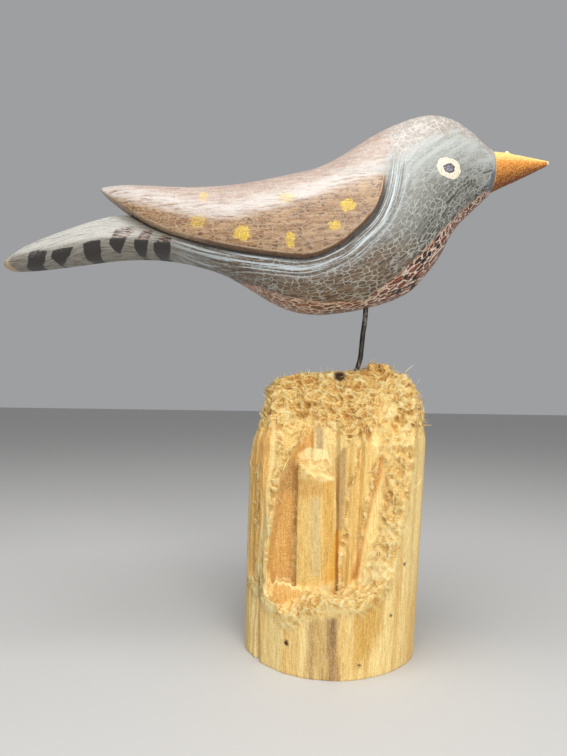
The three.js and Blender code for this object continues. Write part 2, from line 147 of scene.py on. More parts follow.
# Beak and wire leg
BEAK_TIP = 96
BEAK_TOP = curve([(69.5, 215.2), (79, 214.3), (88, 212.9), (94.5, 211.9), (96, 211.5)])
BEAK_BOTTOM = curve([(69.5, 197), (74.5, 199.4), (83.4, 203.6), (92.4, 208.1), (96, 210)])
BEAK_HALF_WIDTH = curve([(69.5, 8.9), (79, 6.1), (88, 3.2), (94, 1.5), (96, 0.9)])
BEAK_LUMP = {"x": 77.6, "radius": 1.3, "height": 1.7}
BEAK_UNEVEN = 0.16
BEAK_LUMPS = 1.1
BEAK_RINGS = 110
BEAK_SIDES = 130
GAP = 0.3
WIRE_RADIUS = 1.1
WIRE_UNEVEN = 0.07
WIRE_SIDES = 24
WIRE_LINE = [
    (8.6, 97), (9.4, 107), (10.9, 115.4), (12.8, 121.7), (13.4, 126.7), (14, 133.1), (14.8, 139),
    (15.2, 145), (15.6, 156),
]

# Log: a leaning round with a worn top and a hollow split out of its front
LOG_RADIUS = 35.9
LOG_FLARE = 0.022
LOG_LEAN = 0.035
# How much of the radius is left at heights up its top, on the left and the right as seen from its front
LOG_TOP_HEIGHTS = [79, 87, 95, 103, 109, 113.2, 115.6, 116.8, 117.6]
LOG_TOP_LEFT = [1, 0.975, 0.92, 0.88, 0.86, 0.76, 0.58, 0.38, 0]
LOG_TOP_RIGHT = [1, 1, 0.98, 0.94, 0.875, 0.77, 0.6, 0.38, 0]
LOG_TOP_TILT = 0.07
CREST = {"x": 21, "y": 4, "radius": 9, "height": 2.6}
TOP_WORN = 1.2
TOP_ROUGH = (84, 102)
# The hollow's ledge and edges in side view, and its wall's steps and strips from above
LEDGE_BACK = curve([
    (-31, 31), (-27.4, 29), (-25.8, 28.4), (-21, 28.6), (-17.8, 28.8), (-13.8, 28.6), (-5, 28), (1, 27.3),
    (5, 28.2), (9, 30.6), (13, 32.3), (18, 34.6), (36, 42),
])
LEDGE_FRONT = curve([
    (-31, 30), (-27, 27.8), (-22.7, 25.1), (-18.9, 22.6), (-15.2, 23), (-12.2, 26.7), (-7.8, 29),
    (-2.1, 30.2), (9.1, 29.2), (14.8, 31.5), (18.5, 33.8), (22.4, 38), (36, 46),
])
RIDGE = curve([
    (20, -28.4), (29, -27.8), (46, -26.7), (60, -24.6), (72, -22.4), (82, -19.7), (95, -15.5), (124, -10),
])
RIM = curve([
    (20, 17), (34, 18.8), (38, 22.2), (44, 24.4), (52, 26), (63, 28.4), (74, 30.4), (86, 32.4), (124, 36),
])
FACET = (-30.2, -22.4)
# (x out from the ridge, y at the foot, y higher up)
RIDGE_STEPS = [(-0.2, -24.4, -22.6), (1, -23.8, -22.4), (3.6, -19.8, -21.8)]
RIDGE_FADE = 45
# (x at the foot, lean, y)
STRIPS = [
    (-14, 0, -18.8), (-8.9, 0, -19.4), (-8.2, 0, -21), (-3.6, 0, -20.6), (0.9, 0, -19.6), (1.7, 0.01, -22.2),
    (3.9, 0.02, -21), (5.2, 0.03, -23), (7, 0.045, -20.4), (8.2, 0.05, -22.8),
]
BOWL = {"x": 9.5, "lean": 0.05, "y": -22.5, "curve": 1.5}
BOWL_COLUMNS = 9
COLUMNS_APART = 1e-4
SLOPE = {"start": 86, "lean": 0.34, "curve": 0.006}
# The tongue left standing on the ledge, (x, y) from above, and its slanting break in side view
TONGUE = [
    (-14.8, -12), (-14.9, -19), (-14.6, -24.4), (-11, -25.5), (-5.7, -26.2), (-1.5, -25.8), (0.6, -24.6),
    (0.2, -19), (-1, -12),
]
BREAK_FRONT = curve([(-15, 79), (-11, 75.4), (-5.7, 72.4), (-1.5, 71.8), (0.6, 71.4)])
BREAK_BACK = curve([(-15, 79.4), (-11, 80.8), (-5, 83), (-3, 82.6), (-0.6, 78), (0.8, 73)])
BREAK_DEPTHS = (-27.5, -16)
# The drying crack, with its opening at heights up to its end as a share of its width
CRACK = {"angle": 213, "half_width": 1.9, "depth": 7}
CRACK_HEIGHTS = [0, 14, 25, 34]
CRACK_SHARES = [1.1, 1, 0.8, 0.1]


def smooth_min(a, b, reach):
    """The lower of two fields, rounded where they cross."""
    near = np.clip(1 - np.abs(a - b) / reach, 0, 1)
    return np.minimum(a, b) - near * near * reach / 4


def smooth_max(a, b, reach):
    return -smooth_min(-a, -b, reach)


def hashed(ix, iy, iz, seed):
    """Repeatable values from -1 to 1, one for each whole-number place."""
    h = (ix * 374761393 + iy * 668265263 + iz * 1440662683 + seed * 974634777) & 0xFFFFFFFF
    h = ((h ^ (h >> 13)) * 1274126177) & 0xFFFFFFFF
    return ((h ^ (h >> 16)) & 0xFFFFFF) / 0x7FFFFF - 1


def noise(x, y, z, seed):
    """Smooth unevenness from -1 to 1 that changes over about one unit."""
    x, y, z = np.broadcast_arrays(x, y, z)
    cell = [np.floor(v).astype(np.int64) for v in (x, y, z)]
    fade = [(v - c) ** 2 * (3 - 2 * (v - c)) for v, c in zip((x, y, z), cell)]
    total = np.zeros(x.shape)
    for corner in itertools.product((0, 1), repeat=3):
        weight = 1
        for f, c in zip(fade, corner):
            weight = weight * (f if c else 1 - f)
        total += weight * hashed(*(c + o for c, o in zip(cell, corner)), seed)
    return total


NOISE_LAYERS = 3


def layered(x, y, z, seed):
    """Noise with finer noise on it, from about -1 to 1."""
    total = sum(noise(x * 2**n, y * 2**n, z * 2**n, seed + n) / 2**n for n in range(NOISE_LAYERS))
    return total / (2 - 2 ** (1 - NOISE_LAYERS))


def ridged(x, y, z, seed):
    """Sharp creases from 0 in the flats to 1 along the creases."""
    return (1 - np.abs(noise(x, y, z, seed))) ** 2


class Block:
    """A block of places for a field: one rising list of millimetres along each axis."""

    def __init__(self, x, y, z):
        self.axes = [np.asarray(a, float) for a in (x, y, z)]
        self.shape = tuple(len(a) for a in self.axes)

    def places(self, steps):
        """Millimetre places for places counted in steps."""
        return np.stack([np.interp(s, np.arange(len(a)), a) for s, a in zip(steps.T, self.axes)], 1)

    def steps(self, places):
        return np.stack([np.interp(p, a, np.arange(len(a))) for p, a in zip(places.T, self.axes)], 1)


def even(low, high, step):
    return np.arange(round(low / step), round(high / step) + 1) * step


def sampled(field, at):
    """Field values between its places, at places counted in steps."""
    low = np.clip(np.floor(at).astype(int), 0, np.array(field.shape) - 2)
    part = at - low
    total = np.zeros(len(at))
    for corner in itertools.product((0, 1), repeat=3):
        weight = np.prod(np.where(corner, part, 1 - part), axis=1)
        total += weight * field[tuple((low + corner).T)]
    return total


def skin(field, block, settle=0):
    """Closed mesh round the field's negative part, as (points, triangles, quads)."""
    grid = openvdb.FloatGrid(1.0)
    grid.copyFromArray(np.ascontiguousarray(field, np.float32))
    index, triangles, quads = grid.convertToPolygons(isovalue=0.0, adaptivity=0.0)
    index = index.astype(float)
    for _ in range(settle):
        half = np.eye(3) / 2
        slope = np.stack([sampled(field, index + h) - sampled(field, index - h) for h in half], 1)
        length = np.maximum((slope**2).sum(1), TINY)
        index -= np.clip(sampled(field, index) / length, -0.5, 0.5)[:, None] * slope
    return block.places(index), triangles.astype(int), quads.astype(int)


def largest_shell(shape):
    """The shape's largest connected skin, without loose crumbs and closed pockets."""
    points, triangles, quads = shape
    pairs = np.concatenate([triangles[:, :2], triangles[:, 1:], quads[:, :2], quads[:, 1:3], quads[:, 2:]])
    shell = np.arange(len(points))
    before = None
    while before is None or (shell != before).any():
        before = shell.copy()
        low = shell[pairs].min(axis=1)
        np.minimum.at(shell, pairs[:, 0], low)
        np.minimum.at(shell, pairs[:, 1], low)
        shell = shell[shell]
    keep = shell == np.bincount(shell).argmax()
    number = np.cumsum(keep) - 1
    return points[keep], number[triangles[keep[triangles[:, 0]]]], number[quads[keep[quads[:, 0]]]]


def loft(rings):
    """Closed skin over rings with the same number of points, as (points, triangles, quads)."""
    count, sides, _ = rings.shape
    points = np.concatenate([rings.reshape(-1, 3), rings[[0, -1]].mean(axis=1)])
    first, second = np.meshgrid(np.arange(count - 1) * sides, np.arange(sides), indexing="ij")
    a = first + second
    b = first + (second + 1) % sides
    quads = np.stack([a, b, b + sides, a + sides], -1).reshape(-1, 4)
    i = np.arange(sides)
    j = (i + 1) % sides
    top = (count - 1) * sides
    start = np.stack([np.full(sides, count * sides), j, i], 1)
    end = np.stack([np.full(sides, count * sides + 1), top + i, top + j], 1)
    return points, np.concatenate([start, end]), quads


BIRD_STEP = 0.68
BAND = 5
bird_block = Block(even(-146, 73, BIRD_STEP), even(-31, 31, BIRD_STEP), even(138, 233, BIRD_STEP))


def distance_to(shape):
    """Field of the distance to a closed shape over the bird's block, capped at the band."""
    points, triangles, quads = shape
    level = openvdb.FloatGrid.createLevelSetFromPolygons(
        np.ascontiguousarray(points, np.float32),
        triangles=np.ascontiguousarray(triangles, np.uint32),
        quads=np.ascontiguousarray(quads, np.uint32),
        transform=openvdb.createLinearTransform(BIRD_STEP),
        halfWidth=float(BAND),
    )
    field = np.empty(bird_block.shape, np.float32)
    first = [round(a[0] / BIRD_STEP) for a in bird_block.axes]
    level.copyToArray(field, ijk=first)
    return field


def sections(x, top, bottom, half_width, widest, chamfer):
    """Half widths and heights of rings across the bird, one at each x, from the keel up one side."""
    t = np.linspace(-1, 1, 2 * RING_STEPS + 1)[None, :]
    x, top, bottom, half_width, widest, chamfer = (
        np.broadcast_to(v, x.shape)[:, None] for v in (x, top, bottom, half_width, widest, chamfer)
    )
    width = half_width * np.maximum(np.cos(t * math.pi / 2), 0) ** ROUNDNESS
    slope = np.clip(t / CHAMFER["slope_end"], 0, 1)
    flat = np.clip((t - CHAMFER["slope_end"]) / (1 - CHAMFER["slope_end"]), 0, 1)
    cut_width = half_width * lerp(1, CHAMFER["top_width"], slope) * (1 - flat)
    cut_rise = lerp(slope * CHAMFER["slope_height"], 1, flat)
    cut = np.where(t > 0, chamfer, 0)
    reach = np.where(t < 0, widest - bottom, top - widest)
    return lerp(width, cut_width, cut), widest + reach * lerp(np.sin(t * math.pi / 2), cut_rise, cut)


def loft_both_sides(x, half, height):
    left = np.stack([np.broadcast_to(x[:, None], half.shape), half, height], -1)
    right = left[:, -2:0:-1] * [1, -1, 1]
    return loft(np.concatenate([left, right], axis=1))


def body_shape():
    x = np.linspace(TAIL_END, HEAD_FRONT, BODY_RINGS)
    top = np.where(x > TAIL_LINE_END, BACK_LINE(x), TAIL_LINE(x))
    chamfer = 1 - ramp(x, CHAMFER["tail"], CHAMFER["trunk"])
    half, height = sections(x, top, BELLY_LINE(x), BODY_HALF_WIDTH(x), WIDEST_HEIGHT(x), chamfer)
    return loft_both_sides(x, half, height)


def wing_shape():
    x = np.linspace(WING_EDGE[0][0], WING_FRONT, WING_RINGS)
    top = BACK_LINE(x) - WING_SINK(x)
    bottom = BELLY_LINE(x) - WING_OVERLAP
    half, height = sections(x, top, bottom, WING_HALF_WIDTH(x), WING_WIDEST_HEIGHT(x), 0)
    high = ramp(height, SHOULDER["low"], SHOULDER["high"])
    forward = ramp(x, SHOULDER["back"], SHOULDER["front"])[:, None]
    return loft_both_sides(x, np.maximum(half - SHOULDER["depth"] * high * forward, 0), height)


def rounded_line(points, per_span=8):
    """Points along a smooth curve through the given ones."""
    p = np.array([points[0], *points, points[-1]], float)
    t = np.linspace(0, 1, per_span, endpoint=False)[:, None]
    spans = []
    for a, b, c, d in zip(p, p[1:], p[2:], p[3:]):
        spans.append(b + 0.5 * t * (c - a + t * (2 * a - 5 * b + 4 * c - d + t * (3 * (b - c) + d - a))))
    return np.concatenate([*spans, p[-1:]])


def outline_distance(outline, x, z):
    """Distance in side view to a closed outline, negative inside it."""
    outline = np.asarray(outline, float)
    nearest = np.full(np.broadcast(x, z).shape, np.inf)
    inside = np.zeros(nearest.shape, bool)
    for (ax, az), (bx, bz) in zip(outline, np.roll(outline, -1, axis=0)):
        length = (bx - ax) ** 2 + (bz - az) ** 2
        t = np.clip(((x - ax) * (bx - ax) + (z - az) * (bz - az)) / max(length, TINY), 0, 1)
        nearest = np.minimum(nearest, np.hypot(x - ax - t * (bx - ax), z - az - t * (bz - az)))
        if az != bz:
            crosses = ((az > z) != (bz > z)) & (x < ax + (z - az) / (bz - az) * (bx - ax))
            inside ^= crosses
    return np.where(inside, -nearest, nearest)


def edge_distance(x, z):
    """Distance in side view to the wing's edge, negative over the wing."""
    line = rounded_line(WING_EDGE)
    return outline_distance([*line, (line[-1][0], WING_OVERHEAD), (line[0][0], WING_OVERHEAD)], x, z)


def bird_fields():
    """The bird's field, and how far the wing's surface stands out from the body's."""
    x, z = bird_block.axes[0][:, None], bird_block.axes[2][None, :]
    edge = edge_distance(x, z)
    near = np.clip(1 - edge / COVE["width"], 0, 1)
    fade = 1 - ramp(z, SHOULDER["low"], SHOULDER["high"])
    brush = 0.09 * noise(edge * 1.5, x / 40, z / 40, 3) * (near > 0)
    body = distance_to(body_shape()) + ((COVE["depth"] * near**2 + brush) * fade)[:, None, :]
    wing = smooth_max(distance_to(wing_shape()), edge[:, None, :], WING_EDGE_ROUNDED)
    blend = 0.3 + 4 * ramp(z, 188, 206) * ramp(x, -20, 6)
    whole = smooth_min(body, wing, blend[:, None, :])
    return smooth_max(whole, -groove_field(x, z), GROOVE["rounded"]), body - wing


def groove_field(x, z):
    """Distance to the groove along the back, between the wings."""
    depth = BACK_GROOVE(x)
    steep = (depth + GROOVE["rise"]) / (GROOVE["widening"] * depth + GROOVE["half_width"])
    above = (BACK_LINE(x) - depth - z)[:, None, :]
    across = np.abs(bird_block.axes[1][None, :, None]) * steep[:, :, None]
    return (above + across) / np.sqrt(1 + steep**2)[:, :, None]


def log_radius(z):
    return LOG_RADIUS + LOG_FLARE * z


def from_middle(x, z):
    """How far right of the log's leaning middle a place is."""
    return x - LOG_LEAN * z


def hollow_columns(z):
    """The hollow's wall at one height, as x and y from its left edge to its right rim."""
    ridge, rim = RIDGE(z), RIM(z)
    risen = ramp(z, RIDGE_FADE, SLOPE["start"])
    columns = [FACET]
    columns += [(ridge + out, lerp(foot, head, risen)) for out, foot, head in RIDGE_STEPS]
    columns += [(x + lean * z, y) for x, lean, y in STRIPS]
    face = -math.sqrt(max(log_radius(z) ** 2 - from_middle(rim, z) ** 2, 1)) - 0.4
    for share in np.linspace(0, 1, BOWL_COLUMNS):
        x = lerp(BOWL["x"] + BOWL["lean"] * z, rim, share)
        columns.append((x, lerp(BOWL["y"], face, share ** BOWL["curve"])))
    x, y = np.array(columns).T
    return np.maximum.accumulate(x + COLUMNS_APART * np.arange(len(x))), y


HALF_WAY_UP = 60
COLUMNS_HALF_WAY_UP = hollow_columns(HALF_WAY_UP)[0]


def strand(x, z):
    """Which upright strand of the hollow's wall a place is on, as the x it has half way up."""
    return np.interp(x, hollow_columns(z)[0], COLUMNS_HALF_WAY_UP)


FUZZ_EDGE = curve([
    (-31, 90.6), (-26, 92.4), (-22, 91.8), (-18, 89.6), (-14.5, 93), (-6, 93.4), (-2.2, 89.5), (5.7, 87.5),
    (13.6, 86.6), (19.4, 99.7), (25.3, 101.3), (30.1, 92.7), (36, 90),
])
BACK_FUZZ = 106
TORN_LEFT = curve([
    (27, 2), (30, 6), (33, 10), (40, 11.8), (49.6, 15.6), (57, 18.4), (68, 19.6), (79, 20), (95, 18),
])
SEAMS = [
    ([(-29, 30), (-27.3, 43), (-26, 53), (-23.6, 72.9), (-21.6, 78), (-22.4, 96)], 1.3),
    ([(-21.6, 76), (-18.1, 83.1), (-14.6, 87.9), (-11.1, 92.3)], 1.2),
    ([(-15, 31), (-15.2, 52), (-14.9, 66)], 0.7),
    ([(2.9, 30), (3.2, 42), (4.8, 52), (5.2, 67), (6.7, 72), (9.5, 77), (10, 86)], 0.9),
    ([(10.5, 49.8), (13.4, 64), (17, 78), (21, 92)], 0.7),
    ([(-30.6, 76), (-30, 60), (-31.5, 50), (-31, 36)], 0.8),
]


def fuzziness(x, y, z):
    """How torn the wood is at a place, from 0 to 1."""
    edge = lerp(BACK_FUZZ, FUZZ_EDGE(x), ramp(-y, -6, 10)) + 2.5 * noise(x / 3, y / 3, 0, 41)
    return ramp(z - edge, -2, 5)


def torn_band(x, z):
    """1 where the cross grain is torn, between the upright strips and the hollow's right rim."""
    left = TORN_LEFT(z) + 1.5 * noise(x / 3, 0, z / 4, 17)
    right = RIM(z) + 1 + 1.2 * noise(x / 3, 0, z / 4, 18)
    return ramp(x - left, -1.5, 2) * ramp(right - x, -1, 1.5) * ramp(z, 25, 29)


def seams(x, z):
    """1 along the frayed edges between strips of the split wood."""
    share = 0
    for line, width in SEAMS:
        away = outline_distance([*line, *line[::-1]], x, z) + 0.8 * noise(x / 1.5, 0, z / 3, 19)
        share = highest(share, 1 - ramp(away, 0.4 * width, 1.6 * width))
    return share


def wall_relief(x, z, band):
    """Grain and torn fibres of the hollow's wall at one height, standing out where positive."""
    line = strand(x, z)
    grain = 0.3 * (ridged(line / 1.5, 0, z / 26, 11) - 0.4) + 0.45 * noise(line / 3.4, 0, z / 30, 12)
    across = 0.9 * layered((x + 0.9 * z) / 2.6, 0, (z - 0.9 * x) / 7, 13)
    flat_strip = ramp(line, -27, -24) * (1 - ramp(line, -15.5, -14))
    return lerp(lerp(grain, 0.2 * grain, flat_strip), grain * 0.5 + across, band)


def tongue_field(x, y, z):
    """Distance to the tongue that was left standing, cut by its slanting break."""
    outline = np.array(TONGUE)
    sides = []
    for (ax, ay), (bx, by) in zip(outline, np.roll(outline, -1, axis=0)):
        sides.append(((x - ax) * (by - ay) - (y - ay) * (bx - ax)) / math.hypot(bx - ax, by - ay))
    share = np.clip((y - BREAK_DEPTHS[0]) / (BREAK_DEPTHS[1] - BREAK_DEPTHS[0]), 0, 1)
    broken = lerp(BREAK_FRONT(x), BREAK_BACK(x), share) + 1.2 * layered(x / 1.6, y / 1.6, 0, 21)
    grain = 0.3 * (ridged(x / 1.6, y / 1.6, z / 40, 22) - 0.5)
    return highest(highest(*sides) - grain, (z - broken) * 0.6)


def shreds(along, across, inward, seed):
    """Curled shreds that are longest along one way, near 1 on them and 0 between."""
    bend = 1.3 * noise(along / 4, across / 4, inward / 4, seed)
    coarse = ridged((along + bend) / 3.6, (across + bend) / 2, inward / 2.2, seed + 1)
    fine = np.abs(noise((along + bend) / 1.9, across / 1.1, inward / 1.3, seed + 2))
    return ramp(0.6 * coarse + 0.5 * fine, 0.15, 0.85)


def crumbs(x, y, z, band):
    """Shreds of torn fibre, which lie level on the top and aslant in the torn band."""
    lying = shreds(x, z + 0.35 * x, y - 0.5 * x, 4)
    aslant = shreds(0.5 * x + 0.87 * z, 0.87 * x - 0.5 * z, y, 64)
    return lerp(lying, aslant, band)


def pale_shreds(x, y, z, band):
    """How pale the torn wood is: paler on the raised shreds as partly painted highlight, palest on the ledge
    and in the band, browner on the upper left as partly painted shade.
    """
    top = 0.22 * noise(x / 11, y / 11, z / 7, 77) - 0.1 * ramp(-x, 0, 20) * ramp(z, 96, 108)
    return 0.8 * crumbs(x, y, z, band) + highest(top + 0.3 * (1 - ramp(z, 36, 60)), 0.1 * band)


def ledge_rim(x, y, z):
    """1 along the ledge's broken front edge."""
    away = np.abs(z - LEDGE_FRONT(x) + 1.6)
    return ramp(-y, 4, 12) * (1 - ramp(away, 1.5, 6)) * (1 - ramp(x, 18, 26))


def log_slice(x, y, z):
    """Field of the wood at one height: negative inside."""
    rough_top = ramp(z, *TOP_ROUGH)
    lumps = layered(x / 4.5, y / 4.5, z / 4.5, 5)
    band = torn_band(x, z)
    crumb = crumbs(x, y, z, band * (y < 0))
    torn = rough_top * (1.1 * lumps + 1.9 * crumb - 2.2) + 0.7 * ledge_rim(x, y, z) * crumb
    wall = hollow_wall(x, y, z, band, rough_top, lumps, crumb)
    hollow = lowest(z - ledge_height(x, y, z, wall, crumb), wall - y)
    field = highest(round_field(x, y, z, torn, rough_top * lumps), hollow)
    field = lowest(field, tongue_field(x, y, z), crest_blocks(x, y, z, lumps), slab_field(x, y, z))
    knot = KNOT["radius"] + 0.8 * noise(x, y, z, 51) - knot_distance(x, y, z)
    return highest(field, crack_field(x, y, z), knot)


def round_field(x, y, z, torn, lumps):
    """The log before its front splits out."""
    right = from_middle(x, z)
    out = np.hypot(right, y)
    around = np.arctan2(y, right) * LOG_RADIUS
    ribs = 0.35 * noise(around / 5.2, 0, z / 50, 1) + 0.2 * (ridged(around / 1.5, 0, z / 28, 2) - 0.5)
    deeper = 0.7 * (ridged(around / 2.3, 0, z / 60, 3) - 0.6) + 0.5 * noise(around / 1.3, 0, z / 9, 4)
    ribs = ribs + ramp(-right, 24, 30) * ramp(-y, 2, 10) * deeper
    crest = CREST["height"] * np.exp(-((x - CREST["x"]) ** 2 + (y - CREST["y"]) ** 2) / CREST["radius"] ** 2)
    height = z - LOG_TOP_TILT * np.maximum(x, 0) - crest - 1.6 * lumps + TOP_WORN
    left_share = np.interp(height, LOG_TOP_HEIGHTS, LOG_TOP_LEFT)
    right_share = np.interp(height, LOG_TOP_HEIGHTS, LOG_TOP_RIGHT)
    share = lerp(left_share, right_share, (1 + right / np.maximum(out, 1)) / 2)
    return highest(out - log_radius(z) * share - ribs - torn, height - LOG_TOP_HEIGHTS[-1])


COARSE_COLUMNS = [0, 4, 7, 10, 14, 18, 22]
COLUMNS_MERGE = (90, 101)
WALL_BESIDE_HOLLOW = -60.0


def hollow_wall(x, y, z, band, rough_top, lumps, crumb):
    """How far in the hollow's wall lies at one height."""
    columns, depths = hollow_columns(z)
    above = max(z - SLOPE["start"], 0)
    leaning = SLOPE["lean"] * above + SLOPE["curve"] * above**2
    coarse = np.interp(x, columns[COARSE_COLUMNS], depths[COARSE_COLUMNS])
    wall = lerp(np.interp(x, columns, depths), coarse, ramp(z, *COLUMNS_MERGE))
    wall = wall + leaning - wall_relief(x, z, band) * lerp(1, 0.3, rough_top)
    fuzz = highest(fuzziness(x, np.minimum(y, -10), z), band, 0.55 * seams(x, z))
    relief = lerp(1.9, 1.1, band * (1 - rough_top))
    wall = wall - 1.6 * rough_top * lumps - fuzz * (relief * crumb + 0.1)
    for spot in WALL_SPOTS:
        away = -((x - spot["x"]) / spot["w"]) ** 2 - ((z - spot["z"]) / spot["h"]) ** 2
        wall = wall + spot["in"] * np.exp(away)
    open_front = (x > columns[0] - 0.2) & (x < columns[-1] + 0.6)
    return np.where(open_front, wall, WALL_BESIDE_HOLLOW)


def ledge_height(x, y, z, wall, crumb):
    """Height of the broken ledge at the hollow's foot."""
    face = -np.sqrt(np.maximum(log_radius(z) ** 2 - from_middle(x, z) ** 2, 1))
    share = np.clip((y - face) / np.maximum(wall - face, 3), -0.5, 1)
    splinters = 1.6 * np.maximum(ridged(x / 1.7, 0, 0, 33) - 0.45, 0) * ramp(share, 0.6, 1)
    ledge = lerp(LEDGE_FRONT(x), LEDGE_BACK(x), share) + splinters
    return ledge + 0.6 * layered(x / 1.8, y / 2.6, z / 3, 8) + 1.4 * crumb - 0.8


# Dents (in above zero) and flaps in the hollow's wall
WALL_SPOTS = [
    {"x": 25.3, "z": 95, "w": 2.2, "h": 4.6, "in": 2.6},
    {"x": 31, "z": 93.7, "w": 1.2, "h": 1.6, "in": 1.8},
    {"x": -14.5, "z": 99.2, "w": 4.2, "h": 1.1, "in": -2.2},
    {"x": -15, "z": 96.4, "w": 3.6, "h": 1.3, "in": 2.4},
    {"x": -8, "z": 100.8, "w": 3, "h": 1.6, "in": 2.2},
]
CREST_BLOCKS = [
    {"x": (15.4, 19.7), "y": (-7, -1), "top": 120.3, "tilt": 0.1},
    {"x": (21, 25.6), "y": (-7.5, -0.5), "top": 119.8, "tilt": -0.12},
]
CREST_FOOT = 108
CREST_MIDDLE = 115
FAR = 9.0
KNOT = {"x": 3.2, "y": -7.6, "z": 114.5, "radius": 1.7}
# How far from the knot's middle its pit is painted dark as shade, full then fading
KNOT_DARK = (1.6, 3.4)
SLAB_TOP = [
    (-26.9, 30), (-26.2, 32), (-25.2, 36.2), (-24.3, 30.7), (-23.4, 32.4), (-22.5, 33.6), (-21.2, 32.1),
    (-20, 32.8), (-18.4, 32), (-17.2, 32.4), (-15.9, 30.8), (-14.4, 31.4), (-12.6, 30.3), (-10.6, 31.2),
    (-9.2, 30.5), (-7, 30.8), (-4.2, 28.5), (-3.2, 26),
]
SLAB = {"left": -26.8, "right": -3.4, "y": -22.6, "slant": 0.22, "half": 0.75}
SLAB_FOOT = 18


def slab_field(x, y, z):
    """A thin jagged slab of wood that was left standing on the ledge, in front of the facet."""
    plane = SLAB["y"] - SLAB["slant"] * (x - SLAB["left"]) + 0.4 * noise(x / 4, 0, z / 4, 61)
    above = 0.6 * (z - np.interp(x, *np.array(SLAB_TOP).T))
    sides = highest(np.abs(y - plane) - SLAB["half"], SLAB["left"] - x, x - SLAB["right"])
    return highest(sides, above, SLAB_FOOT - z)


def crest_blocks(x, y, z, lumps):
    """Two square-ended stubs of wood left standing on the crest."""
    field = FAR
    for block in CREST_BLOCKS:
        (left, right), (front, back) = block["x"], block["y"]
        shift = block["tilt"] * (z - CREST_MIDDLE)
        side = highest(left + shift - x, x - right - shift, front - y, y - back)
        field = lowest(field, highest(side - 0.5 * lumps, z - block["top"] + 0.15 * (x - left)))
    return highest(field, CREST_FOOT - z)


def knot_distance(x, y, z):
    return np.sqrt((x - KNOT["x"]) ** 2 + (y - KNOT["y"]) ** 2 + (z - KNOT["z"]) ** 2)


def crack_field(x, y, z):
    """Positive inside the drying crack, which narrows inwards and upwards."""
    angle = math.radians(CRACK["angle"])
    ax, ay = math.cos(angle), math.sin(angle)
    right = from_middle(x, z)
    ahead = right * ax + y * ay
    across = np.abs(-right * ay + y * ax + 0.5 * noise(0, 0, z / 9, 31))
    opening = CRACK["half_width"] * np.interp(z, CRACK_HEIGHTS, CRACK_SHARES)
    width = opening * (1 - (log_radius(z) - ahead) / CRACK["depth"])
    return np.where((ahead > 0) & (z < CRACK_HEIGHTS[-1]), width - across, -1)


LOG_STEP = 0.65
LOG_BLOCK = Block(
    even(-40.3, 42.8, LOG_STEP),
    np.concatenate([even(-39.1, -5, LOG_STEP), np.linspace(-4, 40, 41)]),
    np.concatenate([even(-2.1, 22.4, 0.72), even(23, 124.6, LOG_STEP)]),
)


def log_field():
    x, y, heights = LOG_BLOCK.axes
    field = np.empty(LOG_BLOCK.shape, np.float32)
    for k, z in enumerate(heights):
        field[:, :, k] = log_slice(x[:, None], y[None, :], max(z, 0))
        if z < 0:
            field[:, :, k] = highest(field[:, :, k], -z)
    return field


def add_object(name, data):
    made = bpy.data.objects.new(name, data)
    bpy.context.scene.collection.objects.link(made)
    return made


def new_object(name, shape, material, replaces):
    """A piece of the object from (points, triangles, quads) in millimetres."""
    points, triangles, quads = shape
    mesh = bpy.data.meshes.new(name)
    mesh.from_pydata(points * MM, [], [*triangles.tolist(), *quads.tolist()])
    mesh.validate()
    turn_outwards(mesh)
    mesh.shade_smooth()
    mesh.materials.append(material)
    piece = add_object(name, mesh)
    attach(piece, "root")
    if replaces:
        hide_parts(*replaces)
    return piece


def turn_outwards(mesh):
    mesh.calc_loop_triangles()
    count = len(mesh.loop_triangles)
    corners = np.empty(count * 3, int)
    mesh.loop_triangles.foreach_get("vertices", corners)
    places = np.empty(len(mesh.vertices) * 3)
    mesh.vertices.foreach_get("co", places)
    a, b, c = places.reshape(-1, 3)[corners.reshape(-1, 3)].transpose(1, 0, 2)
    if (a * np.cross(b, c)).sum() < 0:
        mesh.flip_normals()


def add_values(piece, **named):
    """Values for a material to read, one number or three for each point of the mesh."""
    for name, values in named.items():
        kind, field = ("FLOAT_VECTOR", "vector") if values.ndim == 2 else ("FLOAT", "value")
        made = piece.data.attributes.new(name, kind, "POINT")
        made.data.foreach_set(field, np.ascontiguousarray(values, np.float32).ravel())


def linear(*screen_colour):
    """Colour for a shader from the 0 to 255 values seen on a screen."""
    shares = [v / 255 for v in screen_colour]
    return (*(v / 12.92 if v <= 0.04045 else ((v + 0.055) / 1.055) ** 2.4 for v in shares), 1)


